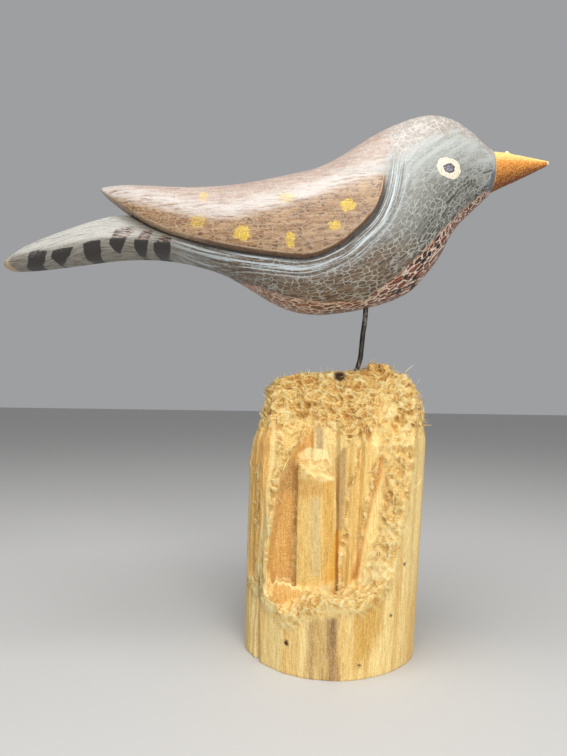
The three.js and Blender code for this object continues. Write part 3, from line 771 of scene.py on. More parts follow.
class Paint:
    """One material and the nodes that make it.

    An input is a number, another node's output or a colour: three numbers as on a screen or a shader's four.
    """

    def __init__(self, name):
        self.material = bpy.data.materials.new(name)
        self.material.use_nodes = True
        self.tree = self.material.node_tree

    def put(self, socket, value):
        if isinstance(value, bpy.types.NodeSocket):
            self.tree.links.new(value, socket)
        elif socket.type == "RGBA" and len(value) == 3:
            socket.default_value = linear(*value)
        else:
            socket.default_value = value

    def node(self, kind, inputs, output=0, **settings):
        made = self.tree.nodes.new("ShaderNode" + kind)
        for name, value in settings.items():
            setattr(made, name, value)
        for key, value in inputs.items():
            self.put(made.inputs[key], value)
        return made.outputs[output]

    def values(self, name, output="Fac"):
        return self.node("Attribute", {}, output, attribute_name=name)

    def place(self):
        """Where a point is, in millimetres."""
        found = self.node("TexCoord", {}, "Object")
        return self.node("VectorMath", {0: found, "Scale": 1 / MM}, operation="SCALE")

    def part(self, vector, axis):
        return self.node("SeparateXYZ", {0: vector}, axis)

    def vector(self, operation, a, b):
        return self.node("VectorMath", {0: a, 1: b}, operation=operation)

    def math(self, operation, a, b):
        return self.node("Math", {0: a, 1: b}, operation=operation)

    def plus(self, a, b):
        return self.math("ADD", a, b)

    def minus(self, a, b):
        return self.math("SUBTRACT", a, b)

    def times(self, *values):
        return functools.reduce(functools.partial(self.math, "MULTIPLY"), values)

    def warped(self, vector, size, amount):
        """The vector pushed about by noise of that size."""
        push = self.node("TexNoise", {"Vector": vector, "Scale": 1 / size, "Detail": 2}, "Color")
        centred = self.vector("SUBTRACT", push, (0.5, 0.5, 0.5))
        scaled = self.node("VectorMath", {0: centred, "Scale": amount}, operation="SCALE")
        return self.vector("ADD", vector, scaled)

    def scaled(self, vector, size, warp=None):
        """The vector in units of one size or three, warped first by noise of a size and an amount."""
        if warp:
            vector = self.warped(vector, *warp)
        if size == 1:
            return vector
        return self.vector("MULTIPLY", vector, [1 / s for s in np.broadcast_to(size, 3).tolist()])

    def noise(self, vector, size=1, detail=2, roughness=0.55, warp=None):
        vector = self.scaled(vector, size, warp)
        inputs = {"Vector": vector, "Detail": detail, "Roughness": roughness, "Scale": 1}
        return self.node("TexNoise", inputs, "Fac")

    def net(self, vector, size=1, warp=None, randomness=1):
        """Distance to the edge of the nearest cell of a crazed net."""
        inputs = {"Vector": self.scaled(vector, size, warp), "Scale": 1, "Randomness": randomness}
        return self.node("TexVoronoi", inputs, "Distance", feature="DISTANCE_TO_EDGE")

    def step(self, value, low, high):
        """The same as ramp, made of nodes."""
        inputs = {"Value": value, "From Min": low, "From Max": high}
        return self.node("MapRange", inputs, interpolation_type="SMOOTHSTEP")

    def between(self, share, a, b):
        return self.node("Mix", {0: share, 2: a, 3: b})

    def mix(self, share, a, b, kind="MIX"):
        return self.node("Mix", {0: share, 6: a, 7: b}, 2, data_type="RGBA", blend_type=kind)

    def lay(self, ground, *layers):
        """Colours laid over the ground in turn, each where all the shares that follow it are high."""
        for colour, *shares in layers:
            ground = self.mix(self.times(*shares), ground, colour)
        return ground

    def bump(self, height, distance):
        return self.node("Bump", {"Height": height, "Distance": distance * MM})

    def finish(self, **inputs):
        """The material, with values or nodes on its shader's inputs."""
        shader = self.tree.nodes["Principled BSDF"]
        for name, value in inputs.items():
            self.put(shader.inputs[name.replace("_", " ")], value)
        return self.material


# Where the bird's colours lie in side view, (x, z)
WING_HIGHLIGHT = curve([
    (-98.6, 193.2), (-49.7, 180.3), (-31.3, 183), (-15.1, 186.9), (1, 193), (17, 198.3),
])
CROWN_LINE = curve([
    (13, 199), (25, 204.5), (31, 208.5), (38, 211.5), (45, 215.2), (52.5, 216), (59.4, 214.4), (69, 209),
])
BREAST = [
    (69.5, 196.4), (65, 194.6), (58, 189), (52.5, 184), (46.5, 177.6), (42, 172.6), (36, 166.2),
    (31.4, 161.5), (28.3, 157.8), (23, 153.6), (17.8, 150.2), (14, 147), (5.6, 145.6), (-5.8, 145),
    (-11.4, 145.7), (-20.6, 147.2), (-27, 149.7), (-36.3, 153.4), (-48, 158.4), (-60, 161.5), (-60, 120),
    (90, 120), (90, 196.4),
]
TAIL_BARS = [
    [(-129.6, 165.4), (-126.3, 166.1), (-122.4, 165.7), (-124.1, 162.5), (-127.6, 160), (-134.1, 159.2),
     (-131.1, 161.4)],
    [(-119.7, 165.7), (-115.7, 166.8), (-111, 167.5), (-113.2, 164.7), (-116.5, 162.4), (-119.3, 161.5),
     (-120.9, 163.4)],
    [(-106.4, 169), (-103.2, 170.1), (-99.3, 170.4), (-99.8, 166.5), (-101.6, 163.8), (-106.9, 163.6)],
    [(-95, 171.1), (-88, 171.1), (-89.9, 168.2), (-92.2, 166.1), (-93.9, 166.9), (-95.3, 168.8)],
    [(-84.3, 170.5), (-78.5, 170), (-79.8, 167.2), (-81.6, 165.9), (-84.2, 165.9), (-84.9, 167.6)],
    [(-75.9, 169.2), (-69.1, 169), (-69.6, 166.6), (-71.3, 165.4), (-76.4, 165.6), (-76.8, 166.6)],
]
TAIL_FADED = [
    [(-94.9, 171.1), (-93.7, 175.9), (-86.3, 177.3), (-84.3, 175.8), (-88, 171.1)],
    [(-84.1, 170.5), (-81.8, 174.7), (-78.2, 175.7), (-77.2, 174.5), (-78.4, 170)],
    [(-75.7, 169.1), (-72.7, 173), (-69.4, 173.4), (-68.5, 171.9), (-69.1, 169)],
]
# (x, z, half width, half height, strength)
YELLOW_SPOTS = [
    (-38, 170.6, 3.2, 2.8, 1), (-18.7, 167.5, 1.7, 2.9, 0.9), (-1.2, 173.3, 2.2, 1.8, 0.85),
    (3.9, 181.7, 2.9, 2.6, 1), (-56.6, 176.2, 3.4, 2.6, 0.5), (-55.1, 188.3, 1.9, 2.6, 0.5),
    (-20.5, 186.3, 3, 2.2, 0.45),
]
BREAST_DOTS = [
    (43.3, 169.1), (39.3, 165.4), (36.5, 162.2), (34, 156), (34.4, 153.4), (27.9, 150.8), (29.5, 155.7),
]
EYE = {"x": 45.7, "z": 199.5, "half_width": 5.5, "half_height": 4.5}
# Where its paint changes: it starts at the first x or z and is full at the second
WING_EDGE_BLURRED = (194, 206)
# Heights where the rims along the wing's lower edge fade out
WING_EDGE_RIMS = (200, 190)
WING_EDGE_DARK = (-64, -50)
# Heights where the cove's strokes and painted highlight fade out
COVE_STROKES_AND_HIGHLIGHT = (206, 194)
# Heights where the painted shadow under the wing's edge fades out
WING_EDGE_PAINTED_SHADOW = (197, 186)
THROAT = (24, 34)
FACE_FRONT = (44.5, 44.9)
FACE_DARK = (206, 201)
TAIL_GREY = (-54, -76)
# Where the painted glare on the bars' tops begins and is full
TAIL_BARS_GLARE = (-108, -118)
TAIL_TIP_BARE = (-138.6, -140)
# The same, counted along the painter's strokes
BELLY_PALE = (156, 142)


def bird_paint():
    p = Paint("crackled_paint")
    place = p.place()
    flow = p.values("flow", "Vector")
    edge = p.values("edge")
    clouds = p.noise(place, (5, 5, 3.5), 4, 0.65)
    blurred = p.step(p.plus(edge, p.times(p.minus(clouds, 0.5), 22)), 4.5, -4.5)
    high = p.step(p.plus(p.part(place, "Z"), p.times(clouds, 8)), *WING_EDGE_BLURRED)
    wing = p.between(high, p.step(p.values("wing"), -0.1, 0.15), blurred)
    colour, lines = body_colours(p, place, flow, edge)
    wing_colour, wing_lines = wing_colours(p, place, edge)
    lines = p.between(wing, lines, wing_lines)
    colour, eye = eye_colours(p, place, p.mix(wing, colour, wing_colour))
    grain = p.noise(flow, (1.6, 0.4, 0.6), 4, 0.65, warp=(2, 0.5))
    rough = p.node("MapRange", {"Value": grain, "To Min": 0.36, "To Max": 0.66})
    height = p.plus(p.minus(p.times(grain, 0.7), p.times(lines, 0.5)), eye)
    bump = p.bump(height, 0.16)
    return p.finish(Base_Color=colour, Roughness=rough, Normal=bump, Coat_Weight=0.18, Coat_Roughness=0.35)


def body_colours(p, place, flow, edge):
    """Grey over dark brown, brushed along the body and crazed in pale lines; the brown low down is partly
    painted shade, and the paler grey high up is painted highlight.
    """
    height, along, crown = p.part(place, "Z"), p.part(place, "X"), p.values("crown")
    patches = p.noise(flow, (14, 7, 10), 3)
    light = p.step(p.noise(flow, (10, 0.6, 2), 4, warp=(5, 1.2)), 0.34, 0.66)
    brown = p.mix(light, (70, 54, 39), (120, 98, 74))
    grey = p.mix(light, (100, 99, 91), (128, 128, 120))
    # Grey higher up and towards the tail, dark brown low on the body: the brown is partly the paint and partly
    # painted shade of the underside
    washed = p.step(p.plus(p.values("washed"), p.times(patches, 0.9)), 0.5, 1.3)
    # Paler grey laid over the head and upper body: painted highlight
    soft = p.step(p.noise(flow, (22, 2.2, 6), 3, warp=(9, 2)), 0.36, 0.62)
    painted_highlight_high = p.step(p.plus(crown, p.times(patches, 10)), -20, 2)
    net = p.step(p.net(flow, (2.9, 1.5, 2.2), (3, 1), 0.85), 0.12, 0.04)
    lines = p.times(net, p.step(p.noise(flow, (5, 3, 5), 3), 0.3, 0.6))
    throat = p.times(p.step(p.values("red"), -14, -5), p.step(along, *THROAT))
    dark = p.step(p.noise(flow, (15, 0.75, 3), 3, warp=(6, 0.8)), 0.46, 0.6)
    colour = p.lay(
        p.mix(washed, brown, grey),
        (p.mix(soft, (150, 152, 146), (182, 185, 181)), painted_highlight_high, 0.85),
        ((172, 174, 166), lines, 0.72),
        ((48, 42, 35), throat, dark, p.step(lines, 0.7, 0.2), 0.8),
    )
    colour = cove_strokes_and_painted_shade(p, colour, flow, edge, height)
    colour = crown_colours(p, colour, place, crown)
    colour = tail_colours(p, colour, place, flow, edge, along)
    front = p.step(p.plus(along, p.times(height, -0.11)), *FACE_FRONT)
    below = p.step(height, *FACE_DARK)
    colour = p.lay(colour, ((160, 160, 156), front, 0.8), ((88, 96, 102), front, below, 0.9))
    return breast_colours(p, colour, flow, lines)


def cove_strokes_and_painted_shade(p, colour, flow, edge, height):
    """Pale strokes that follow the wing's edge, partly brush strokes and partly painted highlight in the cove,
    and a painted shadow as the dark line below the edge.
    """
    slow = p.times(p.part(flow, "X"), 0.02)
    brushed = p.node("CombineXYZ", {0: p.times(edge, 1.25), 1: slow, 2: p.times(p.part(flow, "Z"), 0.05)})
    stroke = p.noise(brushed, 1, 3, 0.75)
    near = p.times(p.step(edge, 11, 5), p.step(edge, 0.8, 2), p.step(height, *COVE_STROKES_AND_HIGHLIGHT))
    # Painted shadow: a dark line on the body just below the wing's edge
    under = p.step(p.plus(edge, p.times(stroke, 1.2)), 2.7, 1.6)
    return p.lay(
        colour,
        ((92, 82, 70), near, p.step(stroke, 0.5, 0.4), 0.75),
        # The pale strokes are partly brush strokes and partly painted highlight in the cove
        ((198, 208, 212), near, p.step(stroke, 0.5, 0.58), 0.9),
        ((38, 30, 24), under, p.step(height, *WING_EDGE_PAINTED_SHADOW), 0.92),
    )


def crown_colours(p, colour, place, crown):
    """Pinkish white over the crown and nape, crazed in round cells."""
    mask = p.step(p.plus(crown, p.times(p.noise(place, (6, 6, 5), 4), 14)), 3, 12)
    pink = p.mix(p.step(p.noise(place, 0.8, 3), 0.38, 0.62), (140, 129, 119), (168, 157, 147))
    lines = p.step(p.net(place, (2.5, 2.5, 2.3), (3, 1.2)), 0.15, 0.05)
    pink = p.lay(pink, ((196, 188, 178), lines, p.step(p.noise(place, 4), 0.34, 0.56), 0.8))
    return p.lay(colour, (pink, mask, 0.92))


def tail_colours(p, colour, place, flow, edge, along):
    """Paler grained grey with black bars, faded above the tail's side, and a bare tip; the whiter upper
    chamfer and the pale tops of the bars near the tip are painted highlight.
    """
    side, bars = p.values("chamfer"), p.values("bars")
    grain = p.noise(flow, (9, 0.45, 1.2), 4, 0.65, warp=(6, 0.8))
    pale = p.mix(p.step(grain, 0.36, 0.6), (104, 92, 76), (146, 144, 135))
    # Whiter on the upper chamfer: painted highlight
    pale = p.lay(pale, ((186, 184, 176), p.step(side, -0.8, 2), p.step(grain, 0.28, 0.5), 0.9))
    tail = p.times(p.step(along, *TAIL_GREY), p.step(edge, 0.6, 1.6))
    speckle = p.noise(place, 0.42, 3)
    faded = p.step(p.plus(p.values("faded"), p.times(speckle, 1.6)), 0.7, 1.1)
    lines = p.step(p.noise(flow, (4, 0.5, 0.8), warp=(4, 0.8)), 0.47, 0.53)
    # Pale grey speckle on the bars' tops near the tip: painted glare
    bar_tops_painted_glare = p.times(p.step(speckle, 0.5, 0.62), p.step(along, *TAIL_BARS_GLARE))
    return p.lay(
        colour,
        (pale, tail, 0.92),
        ((148, 106, 84), faded, p.step(speckle, 0.45, 0.58), 0.8),
        ((50, 40, 34), faded, lines, 0.92),
        ((33, 28, 25), p.step(p.plus(bars, p.times(speckle, 0.8)), 0.05, 0.35), 0.96),
        ((156, 154, 147), bar_tops_painted_glare, p.step(bars, 0, 0.3), p.step(side, -3, 0), 0.75),
        ((196, 168, 132), p.step(along, *TAIL_TIP_BARE), p.step(speckle, 0.3, 0.5)),
    )


def breast_colours(p, colour, flow, body_lines):
    """Reddish brown under a coarse net of cream, with darker cells."""
    red = p.values("red")
    inside = p.step(p.plus(red, p.times(p.noise(flow, 3), 1.4)), 0.4, 0.9)
    warped = p.scaled(flow, (4.2, 1.7, 2.8), (3, 1.4))
    which = p.part(p.node("TexVoronoi", {"Vector": warped, "Scale": 1}, "Color", feature="F1"), "X")
    tone = p.noise(flow, (1.6, 0.6, 1), 3)
    lines = p.times(p.step(p.net(warped), 0.11, 0.05), p.step(tone, 0.3, 0.5))
    ground = p.lay(
        p.mix(p.step(tone, 0.35, 0.65), (78, 34, 22), (138, 74, 48)),
        ((36, 20, 14), p.step(which, 0.74, 0.8), 0.8),
        ((158, 114, 84), p.step(p.part(flow, "X"), *BELLY_PALE), p.step(tone, 0.25, 0.6), 0.8),
        ((222, 204, 184), lines, 0.9),
        ((24, 16, 13), p.step(p.plus(p.values("dots"), tone), 0.55, 0.8)),
        ((196, 160, 136), p.step(red, 1, 0.4), p.step(tone, 0.4, 0.55), 0.7),
    )
    return p.lay(colour, (ground, inside)), p.math("MAXIMUM", body_lines, p.times(lines, inside))


def wing_colours(p, place, edge):
    """Tan and brown below the wing's highlight, pinkish and hazed with white above; the whitish band along the
    highlight and the rims on the lower edge are partly paint and partly painted light and shade.
    """
    ridge = p.values("ridge")
    streaks = p.noise(place, (9, 3, 1.2), 5, 0.62, warp=(8, 2))
    blots = p.noise(place, (3.2, 3, 1.6), 4, 0.7, warp=(3, 2))
    speckle = p.noise(place, (0.55, 0.55, 0.45), 3, 0.7)
    low = p.mix(p.step(streaks, 0.36, 0.64), (132, 97, 64), (170, 138, 102))
    low = p.lay(low, ((92, 60, 38), p.step(blots, 0.51, 0.61), 0.8))
    high = p.mix(p.step(streaks, 0.34, 0.66), (146, 119, 102), (172, 151, 136))
    high = p.lay(high, ((192, 182, 173), p.step(speckle, 0.46, 0.6), p.step(blots, 0.36, 0.62), 0.85))
    # The whitish band along the highlight is partly worn paint and partly painted highlight
    band = p.times(p.step(ridge, -5, -0.5), p.step(ridge, 8, 1.5))
    net = p.step(p.net(place, (3.2, 3, 1.9), (2.6, 1.6)), 0.12, 0.04)
    lines = p.times(net, p.step(blots, 0.4, 0.58))
    spots = p.step(p.plus(p.values("spots"), p.times(blots, 2.6)), 1.75, 2.15)
    dabbed = p.times(spots, p.step(speckle, 0.34, 0.54), p.values("dabs"))
    inside = p.times(edge, -1)
    edge_rims_low = p.step(p.part(place, "Z"), *WING_EDGE_RIMS)
    dark = p.step(p.part(place, "X"), *WING_EDGE_DARK)
    colour = p.lay(
        p.mix(p.step(p.plus(ridge, p.times(streaks, 12)), 1, 8), low, high),
        ((196, 188, 180), band, p.step(streaks, 0.25, 0.6), 0.85),
        ((196, 176, 148), lines, p.step(ridge, 3, -4), 0.4),
        ((210, 172, 36), dabbed, 0.9),
        ((232, 208, 90), dabbed, p.step(speckle, 0.52, 0.6), 0.8),
        # Pale rim along the lower edge, partly paint and partly painted highlight; then a darker rim on the
        # edge at the front, partly painted shade of its down-facing step
        ((196, 168, 138), p.step(inside, 1.2, 0.7), p.step(blots, 0.4, 0.5), edge_rims_low, 0.8),
        ((88, 54, 34), p.step(inside, 0.75, 0.3), dark, edge_rims_low, 0.75),
    )
    return colour, lines


def eye_colours(p, place, colour):
    """A cream ring round a mauve-grey pupil with a darker rim."""
    centred = p.vector("SUBTRACT", place, (EYE["x"], 0, EYE["z"]))
    flat = p.vector("MULTIPLY", centred, (1 / EYE["half_width"], 0, 1 / EYE["half_height"]))
    away = p.node("VectorMath", {0: flat}, 1, operation="LENGTH")
    away = p.plus(away, p.times(p.noise(place, 2.4), 0.36))
    speckle = p.noise(place, 0.6, 3)
    ring = p.step(away, 1.2, 1.13)
    cream = p.mix(p.step(speckle, 0.4, 0.6), (206, 194, 170), (232, 222, 202))
    pupil = p.mix(p.step(speckle, 0.42, 0.6), (84, 80, 92), (150, 146, 156))
    pupil = p.lay(pupil, ((56, 52, 60), p.step(away, 0.48, 0.6)))
    return p.lay(colour, (cream, ring), (pupil, p.step(away, 0.66, 0.6))), p.times(ring, 0.8)


def dot_distance(x, z):
    """Distance to the nearest black dot, in its own widths; each one lies along the breast's slope."""
    along = [((x - a) + (z - b)) / 2.2 for a, b in BREAST_DOTS]
    across = [((x - a) - (z - b)) / 1.2 for a, b in BREAST_DOTS]
    return np.min(np.hypot(along, across), axis=0)


def inside_any(outlines, x, z):
    """How far inside the nearest outline a place is, in side view."""
    return -np.min([outline_distance(outline, x, z) for outline in outlines], axis=0)


def bird_piece():
    field, stands_out = bird_fields()
    shape = skin(field, bird_block, settle=2)
    piece = new_object("painted_bird", shape, bird_paint(), ["bird_body"])
    points = shape[0]
    x, _, z = points.T
    to_spots = [np.hypot((x - a) / w, (z - b) / h) for a, b, w, h, _ in YELLOW_SPOTS]
    add_values(
        piece,
        wing=sampled(stands_out, bird_block.steps(points)),
        edge=edge_distance(x, z),
        flow=flow_of(points),
        ridge=z - WING_HIGHLIGHT(x),
        crown=z - CROWN_LINE(x),
        # Share of grey over the brown, which is partly painted shade low on the body
        washed=highest(ramp(z, 152, 186), ramp(-x, 36, 66)),
        chamfer=z - WIDEST_HEIGHT(x) - 0.6,
        red=inside_any([BREAST], x, z),
        bars=inside_any(TAIL_BARS, x, z),
        faded=inside_any(TAIL_FADED, x, z),
        dots=1 - dot_distance(x, z),
        spots=np.clip(1.7 - np.min(to_spots, axis=0), 0, 1.2),
        dabs=np.array(YELLOW_SPOTS)[np.argmin(to_spots, axis=0), -1],
    )


FLOW_LINE = [
    (-150, 161), (-130, 164), (-100, 172), (-70, 169), (-45, 160), (-20, 154), (0, 155), (18, 162),
    (30, 173), (40, 186), (52, 198), (72, 210),
]


def flow_of(points):
    """How far each point is along the painter's strokes and across them, and its y."""
    line = rounded_line(FLOW_LINE, 6)
    steps = np.diff(line, axis=0)
    lengths = np.hypot(*steps.T)
    travelled = np.concatenate([[0], np.cumsum(lengths)])
    x, y, z = points.T
    best = np.full(len(points), np.inf)
    flow = np.stack([np.zeros(len(points)), np.zeros(len(points)), y])
    for (ax, az), (sx, sz), length, start in zip(line, steps, lengths, travelled):
        t = np.clip(((x - ax) * sx + (z - az) * sz) / length**2, 0, 1)
        away = np.hypot(x - ax - t * sx, z - az - t * sz)
        side = np.sign(sx * (z - az) - sz * (x - ax))
        closer = away < best
        best = np.where(closer, away, best)
        flow = np.where(closer, [start + t * length, side * away, y], flow)
    return flow.T


# Colours of the split wood in side view: outline in (x, z), screen colour, and how far its edge fades
WOOD_ZONES = [
    ([(-36, 93), (-25, 93), (-24.7, 81.5), (-27, 67), (-29, 50), (-31, 29), (-36, 29)], (228, 180, 100), 1),
    ([(-21, 95), (-10, 94), (-14.7, 87), (-18.3, 81.2), (-21, 77)], (226, 190, 116), 0.8),
    ([(-18, 80), (-15, 85.4), (-7.7, 93), (-7.6, 79), (-15, 78)], (212, 160, 86), 0.7),
    ([(-7.8, 94), (-4, 94), (-4, 82), (-7.4, 81)], (180, 154, 110), 1),
    ([(-4, 92), (1, 90), (8, 88), (1, 72), (-4, 82)], (224, 196, 130), 0.8),
    ([(0.7, 81), (5.6, 86), (5.3, 67), (3.6, 50), (1, 50)], (186, 154, 100), 0.9),
    ([(-4, 52), (3, 52), (3, 38), (0.2, 28), (-4, 28)], (226, 174, 76), 0.5),
    ([(5.5, 86), (14.7, 90), (16.7, 78.7), (12.8, 62.8), (10, 50), (9.4, 41.8), (6.6, 29.6), (1, 29),
     (3, 40), (4, 55)], (228, 192, 116), 0.8),
    ([(15.4, 78.8), (19, 82), (18.3, 73), (14.8, 61), (12.9, 50), (12.1, 42), (9.5, 33.5), (8, 33),
     (10, 46), (13.4, 64)], (206, 146, 68), 1),
    ([(15.9, 62), (18.8, 66), (23.1, 57.8), (22, 50), (18.9, 45.6), (13.3, 37), (10.8, 36),
     (12.8, 50)], (242, 212, 140), 1.8),
    ([(22.3, 98.4), (27.8, 99.6), (28.2, 93.4), (25.7, 90.5), (22, 91)], (220, 172, 90), 0.8),
    ([(-15, 79), (-10.7, 75), (-5.7, 72.4), (0.2, 73), (0.2, 50), (-2.6, 40), (-4.3, 30),
     (-15, 31)], (228, 190, 112), 0.6),
    ([(-15, 78), (-5.7, 72), (0.2, 72), (0.2, 66), (-15, 66)], (208, 164, 90), 3),
    ([(-9.5, 64.7), (-7.4, 66), (-5.5, 64.7), (-5.6, 50), (-6, 35.7), (-9.2, 35.6)], (214, 188, 130), 1.6),
    ([(-4.6, 71.8), (0, 72), (0, 50), (-2.8, 40), (-4.5, 31)], (216, 170, 86), 0.9),
    ([(-15, 82), (-9.9, 85), (-3, 84), (0.6, 73.6), (-5.5, 71.9), (-10.6, 74.9)], (246, 224, 164), 0.4),
    ([(-14.8, 78.4), (-18, 80.5), (-20.7, 75.5), (-23.4, 64), (-25, 49.6), (-27, 38), (-25, 31),
     (-14.9, 30.5)], (220, 170, 94), 0.8),
    # The facet's upper part, darker: partly browner wood and partly painted shade from the tongue and ridge
    ([(-14.8, 79), (-18, 80.5), (-20.7, 75.5), (-22.4, 66.8), (-15.2, 66.9)], (198, 152, 86), 2.4),
    ([(-24.4, 97), (-21.8, 95), (-21, 78.8), (-23.5, 67.5), (-25.6, 50), (-27.3, 42), (-29, 28),
     (-31, 28), (-29, 50), (-26.6, 67)], (236, 208, 142), 1.2),
    ([*SLAB_TOP, (-3, 24), (-27, 24)], (250, 226, 160), 0.3),
    ([*[(x, z - 0.9) for x, z in SLAB_TOP], (-3, 24), (-27, 24)], (234, 184, 106), 0.5),
    # A grey-brown patch beside the crack, partly the wood's colour and partly painted shade of the crack
    ([(-29.6, 34), (-27.2, 37), (-26.4, 33), (-27.6, 29), (-29, 24.5), (-30.6, 26)], (150, 124, 96), 0.6),
    ([(-11.9, 30.5), (-6.2, 31), (-6.7, 29.2), (-10.7, 28.4)], (226, 164, 74), 1),
    ([(8, 28), (17.5, 31), (17, 17.6), (13.6, 8), (6.8, 4), (5.4, 14.7)], (212, 170, 88), 3),
    ([(-10.7, 21), (-7.2, 23), (-6.6, -2), (-10.6, -2)], (190, 156, 100), 1.8),
    ([(-7.7, 22.6), (-3.6, 23), (-3.7, -2), (-7.1, -2)], (206, 174, 112), 1.4),
    ([(-3.9, 23), (1, 24), (0.9, -2), (-4, -2)], (172, 138, 90), 1.6),
    ([(-1.6, 23), (-0.4, 23), (-0.6, 12), (-1.6, 13)], (136, 104, 70), 0.7),
]
# Worm holes, as dark dots of painted shade where the mesh has no holes: (x, z, radius)
WORM_HOLES = [(-18.3, 11.8, 0.75), (9, 5.3, 0.45), (21.6, 22, 0.4), (27.6, 40.5, 0.45)]
WOOD_PALE = linear(244, 217, 150)
WOOD_DARK = linear(226, 189, 116)


def wood_tint(x, y, z):
    """Colour of the wood under its grain at each point."""
    around = np.arctan2(y, from_middle(x, z)) * LOG_RADIUS
    patches = ramp(layered(around / 4.5, 0, z / 70, 91), -0.3, 0.5)[:, None]
    tint = lerp(np.array(WOOD_PALE), np.array(WOOD_DARK), patches)
    ragged = 1.1 * layered(x / 1.3, 0, z / 14, 92)
    front = ramp(-y, 8, 14)
    for outline, colour, fade in WOOD_ZONES:
        share = front * ramp(ragged * fade - outline_distance(outline, x, z), -fade, fade)
        tint = lerp(tint, np.array(linear(*colour)), share[:, None])
    return tint[:, :3]


# Shares of red, green, blue and opacity that darken the wood in its grain and specks
GRAIN_SHADE = (0.8, 0.74, 0.62, 1)
SPECK_SHADE = (0.84, 0.77, 0.64, 1)


def wood_paint():
    p = Paint("weathered_wood")
    place, fuzz = p.place(), p.values("fuzz")
    fine = p.noise(place, (0.5, 0.5, 9), 4, 0.7, warp=(8, 1.2))
    specks = p.noise(place, (0.35, 0.35, 0.8), 3, 0.7)
    colour = p.mix(p.step(fine, 0.56, 0.38), p.values("tint", "Vector"), GRAIN_SHADE, "MULTIPLY")
    colour = p.mix(p.step(specks, 0.5, 0.36), colour, SPECK_SHADE, "MULTIPLY")
    broad = p.times(p.minus(p.noise(place, 6, 3), 0.5), 1.2)
    strands = p.noise(place, (1.6, 0.34, 0.34), 4, 0.65, warp=(3, 4))
    lift = p.plus(broad, p.times(p.minus(strands, 0.5), 3.2))
    raised = p.plus(p.values("raised"), lift)
    # Paler on the raised shreds and browner between them: partly the wood's tone and partly painted highlight
    # and shade
    torn = p.mix(p.step(raised, -0.1, 0.5), (188, 128, 54), (236, 198, 116))
    torn = p.lay(torn, ((250, 234, 178), p.step(raised, 0.45, 1.1), 0.85))
    colour = p.lay(
        colour,
        ((250, 238, 196), p.step(specks, 0.55, 0.68), 0.35),
        (torn, fuzz),
        # Dark brown in the knot's pit and the worm holes: painted shade of the holes
        ((64, 30, 16), p.values("pit")),
    )
    ripple = p.times(p.noise(place, (3, 3, 0.5), warp=(3, 2)), p.values("rippled"))
    relief = p.plus(p.times(fine, 0.6), p.plus(p.times(strands, 1.8, fuzz), ripple))
    return p.finish(Base_Color=colour, Roughness=0.85, Normal=p.bump(relief, 0.45))


def log_piece():
    shape = largest_shell(skin(log_field(), LOG_BLOCK))
    shape[0][:, 2] = np.maximum(shape[0][:, 2], 0)
    piece = new_object("split_log", shape, wood_paint(), ["log_base"])
    x, y, z = shape[0].T
    fuzz = torn_share(x, y, z)
    rippled = rippled_share(x, y, z) * (1 - fuzz)
    pit = 1 - ramp(knot_distance(x, y, z), *KNOT_DARK)
    for hx, hz, radius in WORM_HOLES:
        pit = highest(pit, (1 - ramp(np.hypot(x - hx, z - hz), radius, radius + 0.35)) * (y < 0))
    raised = pale_shreds(x, y, z, torn_band(x, z) * (y < 0))
    add_values(piece, fuzz=fuzz, raised=raised, tint=wood_tint(x, y, z), rippled=rippled, pit=pit)
    fibre_piece(shape, fuzz)


# A box round the tongue's break, and the part of the hollow's wall that is rippled
BREAK_BOX = {"x": -7.2, "half_width": 8.2, "y": -21.5, "half_depth": 6, "foot": (71.5, 74), "top": (84, 83)}
RIPPLED = {"left": (-28, -25), "right": (-15, -16.5), "front": (-6, -12), "foot": (30, 40)}


def near_break(x, y, z):
    """1 in the box round the tongue's break."""
    beside = np.abs(x - BREAK_BOX["x"]) < BREAK_BOX["half_width"]
    ahead = np.abs(y - BREAK_BOX["y"]) < BREAK_BOX["half_depth"]
    return beside * ahead * ramp(z, *BREAK_BOX["foot"]) * ramp(z, *BREAK_BOX["top"])


def rippled_share(x, y, z):
    sides = ramp(x, *RIPPLED["left"]) * ramp(x, *RIPPLED["right"])
    return sides * ramp(y, *RIPPLED["front"]) * ramp(z, *RIPPLED["foot"])


def torn_share(x, y, z):
    """Where fibres stand out of the wood: the top, the ledge's rim, the cross grain and the frayed seams."""
    front = ramp(-y, 4, 12)
    inner = front * (y > -0.96 * log_radius(z))
    share = highest(
        fuzziness(x, y, z),
        0.9 * ledge_rim(x, y, z),
        0.75 * front * torn_band(x, z),
        0.6 * near_break(x, y, z) * (np.abs(tongue_field(x, y, z)) < 0.8),
        0.8 * inner * seams(x, z) * (z > 30),
    )
    return np.clip(share, 0, 1)


FIBRE_COUNT = 7400
FIBRE_RINGS = 4
FIBRE_SIDES = 3
FIBRE_TAPER = (1, 1, 0.8, 0.3)
FIBRE_STEPS = np.linspace(0, 1, FIBRE_RINGS)[:, None, None]
FIBRE_SEED = 7
FIBRE_WIDTHS = (0.08, 0.26)
FIBRE_LENGTHS = (2.6, 0.38)
SHORTEST_FIBRE = 0.6
FIBRE_LIFTS = (0.02, 0.34)
FIBRE_CURL = 0.55
FIBRE_ROOT = 0.3
FIBRE_DROOP = 0.4
FIBRES_LOWEST = 15
ROOT_REACH = 0.8
ROOT_DEPTH = 0.4
